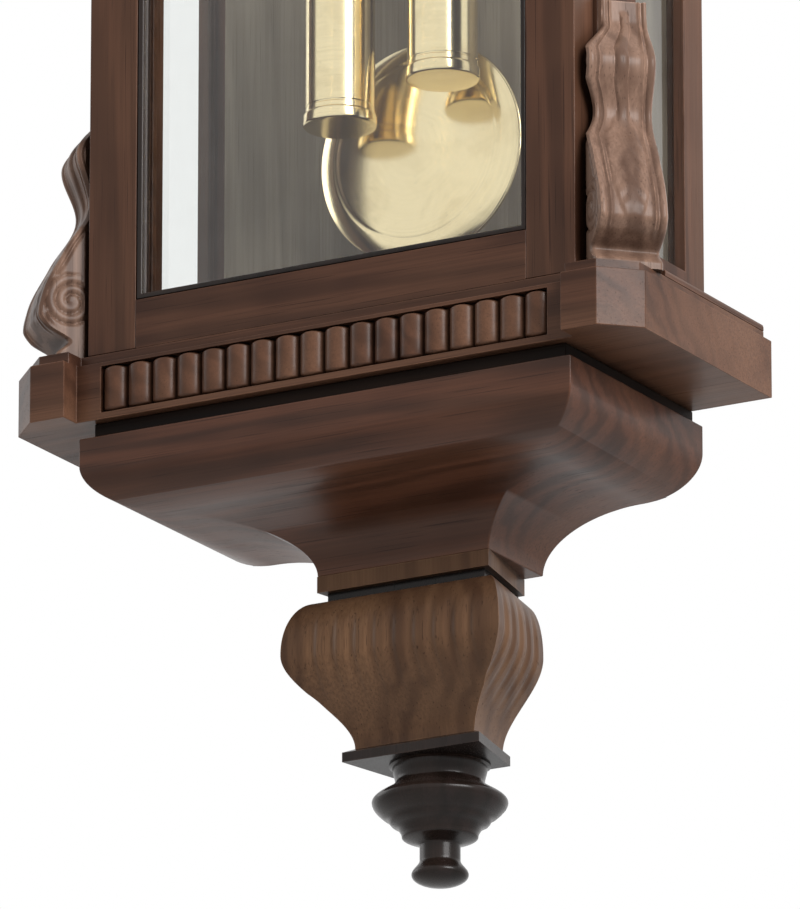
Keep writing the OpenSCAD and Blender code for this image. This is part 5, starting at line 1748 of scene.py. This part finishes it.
@dataclass
class Hand:
    """A pierced hand: a hub, a waisted stem, a ring and a leaf-shaped tip."""

    name: str
    body: str
    long: float
    hub: float
    bore: float
    wide: float
    angle: float
    near: float
    thick: float = 1.4

    def build(self) -> None:
        """Outlines are laid upright, turned by the hand's angle and given their thickness."""
        turn = turning(self.angle)
        long, w = self.long, self.wide
        ring_at, ring_r = long * 0.66, w * 0.95
        stem, leaf, tail = np.linspace(0, 1, 16), np.linspace(0, 1, 22), np.linspace(0, 1, 8)
        parts = (
            (stem, self.hub - 0.6, ring_at - ring_r + 0.5,
             w * (0.42 - 0.24 * stem + 0.12 * np.sin(2 * np.pi * stem) ** 2)),
            (leaf, ring_at + ring_r - 0.5, long,
             w * (0.2 * (1 - leaf) + 0.62 * np.sin(np.pi * leaf ** 1.5) ** 1.4) + 0.05),
            (tail, -long * 0.16, -self.hub + 0.6, w * (0.46 - 0.2 * tail)))
        form = Form()
        for k, low, high, half in parts:
            form.plate(two_sided(half, low + (high - low) * k) @ turn, self.near,
                       self.near + self.thick, (0.0, 0.0, DIAL_S))
        x, up = np.array([0.0, ring_at]) @ turn
        form.turned(box((ring_r * 0.56, 0), (ring_r, self.thick)),
                    (x, -self.near, DIAL_S + up), along_y=True, sides=48, ring=True)
        hub = np.array([[self.bore, 0], [self.hub, 0], [self.hub, self.thick - 0.3],
                        [self.hub - 0.9, self.thick], [self.bore, self.thick]])
        form.turned(hub, (0.0, -self.near, DIAL_S), along_y=True, sides=64, ring=True)
        form.make(f"{self.name}_pierced", self.body, [Finishes.blued], "blued_steel",
                  (self.name,), bevel=0.18, angle=40)


@dataclass
class BeatScale:
    """The scale behind the pendulum's pointer: a curved strip with dark ticks on two posts."""

    s: float = 93.0
    half: float = 52.0
    r: float = 300.0
    wide: float = 14.0
    front: float = 38.0
    step: float = 1.1

    def build(self) -> None:
        """Both edges are arcs of the same radius; the ticks point at the pendulum's axis."""
        x = np.linspace(-self.half, self.half, 60)
        low = self.s + self.r - np.sqrt(self.r ** 2 - x ** 2)
        outline = np.vstack([together(x, low), together(x, low + self.wide)[::-1]])
        form = Form()
        form.plate(outline, self.front - 2, self.front)
        for i in range(-8, 9):
            high = 9.0 if i % 4 == 0 else 5.0
            mark = box((-0.4, 1 - self.r), (0.4, 1 + high - self.r)) @ turning(self.step * i)
            form.plate(mark + [0.0, self.s + self.r], self.front - 0.3, self.front + 0.4, slot=1)
        head = np.array([[SMALL, 0], [2.6, 0], [2.4, 0.35], [1.2, 0.5], [SMALL, 0.5]])
        for side in (-1.0, 1.0):
            x, s = side * (self.half - 12), self.s + 9
            form.pin((x, -20.0, s), 2.5, 17.0, slot=2)
            form.turned(head, (x, -self.front, s), along_y=True, sides=24, slot=2)
        form.make("pendulum_scale", "case", [Finishes.scale, Finishes.numeral, Finishes.hinge],
                  "scale_white", ("beat_scale",), angle=40)


@dataclass
class Line:
    """A weight's gut line: two falls, drawn at one length, and the half loop."""

    name: str
    side: float
    body: str
    joint: str
    axle: float
    travel: float
    reach: float = 14.2
    thick: float = 2.0
    drum: float = 735.0
    eye: float = 678.0

    def piece(self, path: np.ndarray, part: str, body: str) -> bpy.types.Object:
        """Makes one length of the line.

        Args:
            path: Rows of x and s along its middle.
            part: What this length is called.
            body: The body it rides on.

        Returns:
            The piece.
        """
        form = Form()
        x, s = path.T
        form.tube(together(x, DROP_Y, s), self.thick / 2, 10)
        return form.make(f"{self.name}_{part}", body, [Finishes.gut], "gut",
                         (f"line_{self.name}",))

    def build(self) -> None:
        """Makes the falls, on the case, and the loop on the weight's body."""
        for off, top, which in ((self.reach, self.drum, "outer"),
                                (-self.reach, self.eye, "inner")):
            x = self.side * (DROP_X + off)
            z = np.linspace(self.axle, top, 60)
            fall = self.piece(together(x, z), f"{which}_fall", "case")
            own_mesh(fall)
        self.piece(arc((self.side * DROP_X, self.axle), (self.reach, self.reach), 180, 360, 40),
                   "loop", self.body)


@dataclass
class Gong:
    """The strike's coil: a round wire in an even spiral, held in a brass block."""

    s: float = 622.0
    y: float = -30.0
    outer: float = 48.0
    inner: float = 22.0
    turns: int = 4
    wire: float = 1.5
    block_front: float = -35.0

    def build(self) -> None:
        """The radius grows evenly with the angle, from the inner end to the block."""
        full = 360 * self.turns
        a = np.linspace(-90, full - 90, 72 * self.turns + 1)
        r = self.inner + (self.outer - self.inner) * (a + 90) / full
        t = np.radians(a)
        path = together(r * np.cos(t), self.y, self.s + r * np.sin(t))
        low = self.s - self.outer
        form = Form()
        form.tube(np.vstack([path, [[3.6, self.y, low]]]), self.wire, 12)
        form.block((3.4, self.block_front, low - 6), (17.6, -20.0, low + 6), slot=1)
        screw = np.array([[SMALL, 0], [3.4, 0], [3.6, 0.6], [2.4, 1.8], [SMALL, 2.0]])
        form.turned(screw, (10.5, self.block_front, low), along_y=True, sides=32, slot=2)
        form.make("gong_coil", "case", [Finishes.blued, Finishes.plate, Finishes.steel],
                  "blued_steel", ("gong",))


@dataclass
class Studio:
    """Camera at the photograph's angle, soft light, white surroundings and a pale floor.

    The lamps key and fill each have an azimuth, an elevation, a distance, a size and a power.
    """

    azimuth: float = 29.87
    elevation: float = -17.26
    away: float = 8.023
    lens: float = 513.4
    aim: Point = (0.0035, -0.0885, -1.0215)
    lit: Point = (0.0, -0.1, -0.7)
    even_light: float = 0.34
    key: tuple[float, ...] = (67.0, 22.0, 4.2, 2.4, 225.0)
    fill: tuple[float, ...] = (-86.0, 16.0, 4.6, 2.6, 34.0)
    floor: float = -3.7
    floor_half: float = 14.0

    def stand(self, name: str, data: bpy.types.ID, aim: Point, away: float, azimuth: float,
              elevation: float) -> bpy.types.Object:
        """Stands a camera or a lamp round the clock, level and looking at its aim.

        Args:
            name: Its name.
            data: The camera or the light.
            aim: What it looks at.
            away: Its distance in metres.
            azimuth: Where it stands round the aim, in degrees.
            elevation: Its height above the horizon, in degrees.

        Returns:
            The new object.
        """
        stood = bpy.data.objects.new(name, data)
        bpy.context.scene.collection.objects.link(stood)
        a, e = math.radians(azimuth), math.radians(elevation)
        stood.location = np.array(aim) + away * np.array([
            math.sin(a) * math.cos(e), -math.cos(a) * math.cos(e), math.sin(e)])
        stood.rotation_euler = (math.radians(90 - elevation), 0.0, a)
        return stood

    def camera(self) -> None:
        """Sets the camera on its line from the aim."""
        data = bpy.data.cameras.new("photo camera")
        data.lens = self.lens
        data.sensor_width = 36.0
        data.sensor_fit = "HORIZONTAL"
        data.clip_end = 100.0
        bpy.context.scene.camera = self.stand("photo camera", data, self.aim, self.away,
                                              self.azimuth, self.elevation)

    def lamp(self, name: str, azimuth: float, elevation: float, away: float, size: float,
             power: float) -> None:
        """An area lamp that looks at the clock.

        Args:
            name: Its name.
            azimuth: Where it stands round the clock, in degrees.
            elevation: Its height above the horizon, in degrees.
            away: Its distance in metres.
            size: Its side in metres.
            power: Its power in watts.
        """
        data = bpy.data.lights.new(name, "AREA")
        data.shape = "SQUARE"
        data.size = size
        data.energy = power
        self.stand(name, data, self.lit, away, azimuth, elevation)

    def world(self) -> None:
        """White for seen rays, and a weaker even light for everything else."""
        world = bpy.data.worlds.new("studio")
        world.use_nodes = True
        bpy.context.scene.world = world
        nodes = Nodes(world.node_tree)
        back = nodes.tree.nodes["Background"]
        nodes.put(back.inputs[0], (1.0, 1.0, 1.0))
        nodes.put(back.inputs[1], nodes.ramp(nodes.seen_rays(), 0.0, 1.0, self.even_light, 1.0))

    def build(self) -> None:
        """Sets up everything that isn't part of the clock."""
        bpy.context.scene.view_settings.view_transform = "Standard"
        self.camera()
        self.world()
        self.lamp("key", *self.key)
        self.lamp("fill", *self.fill)
        mesh = bpy.data.meshes.new("floor")
        corners = box((-self.floor_half,) * 2, (self.floor_half,) * 2)
        mesh.from_pydata(np.column_stack([corners, np.full(4, self.floor)]).tolist(), [],
                         [(0, 1, 2, 3)])
        mesh.materials.append(Finishes.floor.material())
        floor = bpy.data.objects.new("floor", mesh)
        bpy.context.scene.collection.objects.link(floor)


def main() -> None:
    """Builds the studio and the clock's sub-assemblies in order."""
    logging.basicConfig(level=logging.INFO, format="%(message)s")
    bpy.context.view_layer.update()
    Studio().build()
    DressedNodes().build()
    Frieze().build()
    BaseMoulding().build()
    Pendant().build()
    EndFinial().build()
    Consoles().build()
    Crown().build()
    DoorTrim().build()
    HingeScrews().build()
    Weight("weight_left_shell", "strike_weight", -DROP_X, 222.0, "weight_left").build()
    Weight("weight_right_shell", "time_weight", DROP_X, 243.0, "weight_right").build()
    Bob().build()
    DialFace().build()
    Hand("hour_hand", "hour", 54.0, 7.5, 4.25, 4.5, 55.0, 135.0).build()
    Hand("minute_hand", "centre", 78.0, 6.0, 2.05, 3.6, -60.0, 141.0).build()
    BeatScale().build()
    Line("left", -1.0, "strike_weight", "strike_weight_travel", 412.0, 240.0).build()
    Line("right", 1.0, "time_weight", "time_weight_travel", 433.0, 220.0).build()
    Gong().build()


if __name__ == "__main__":
    main()
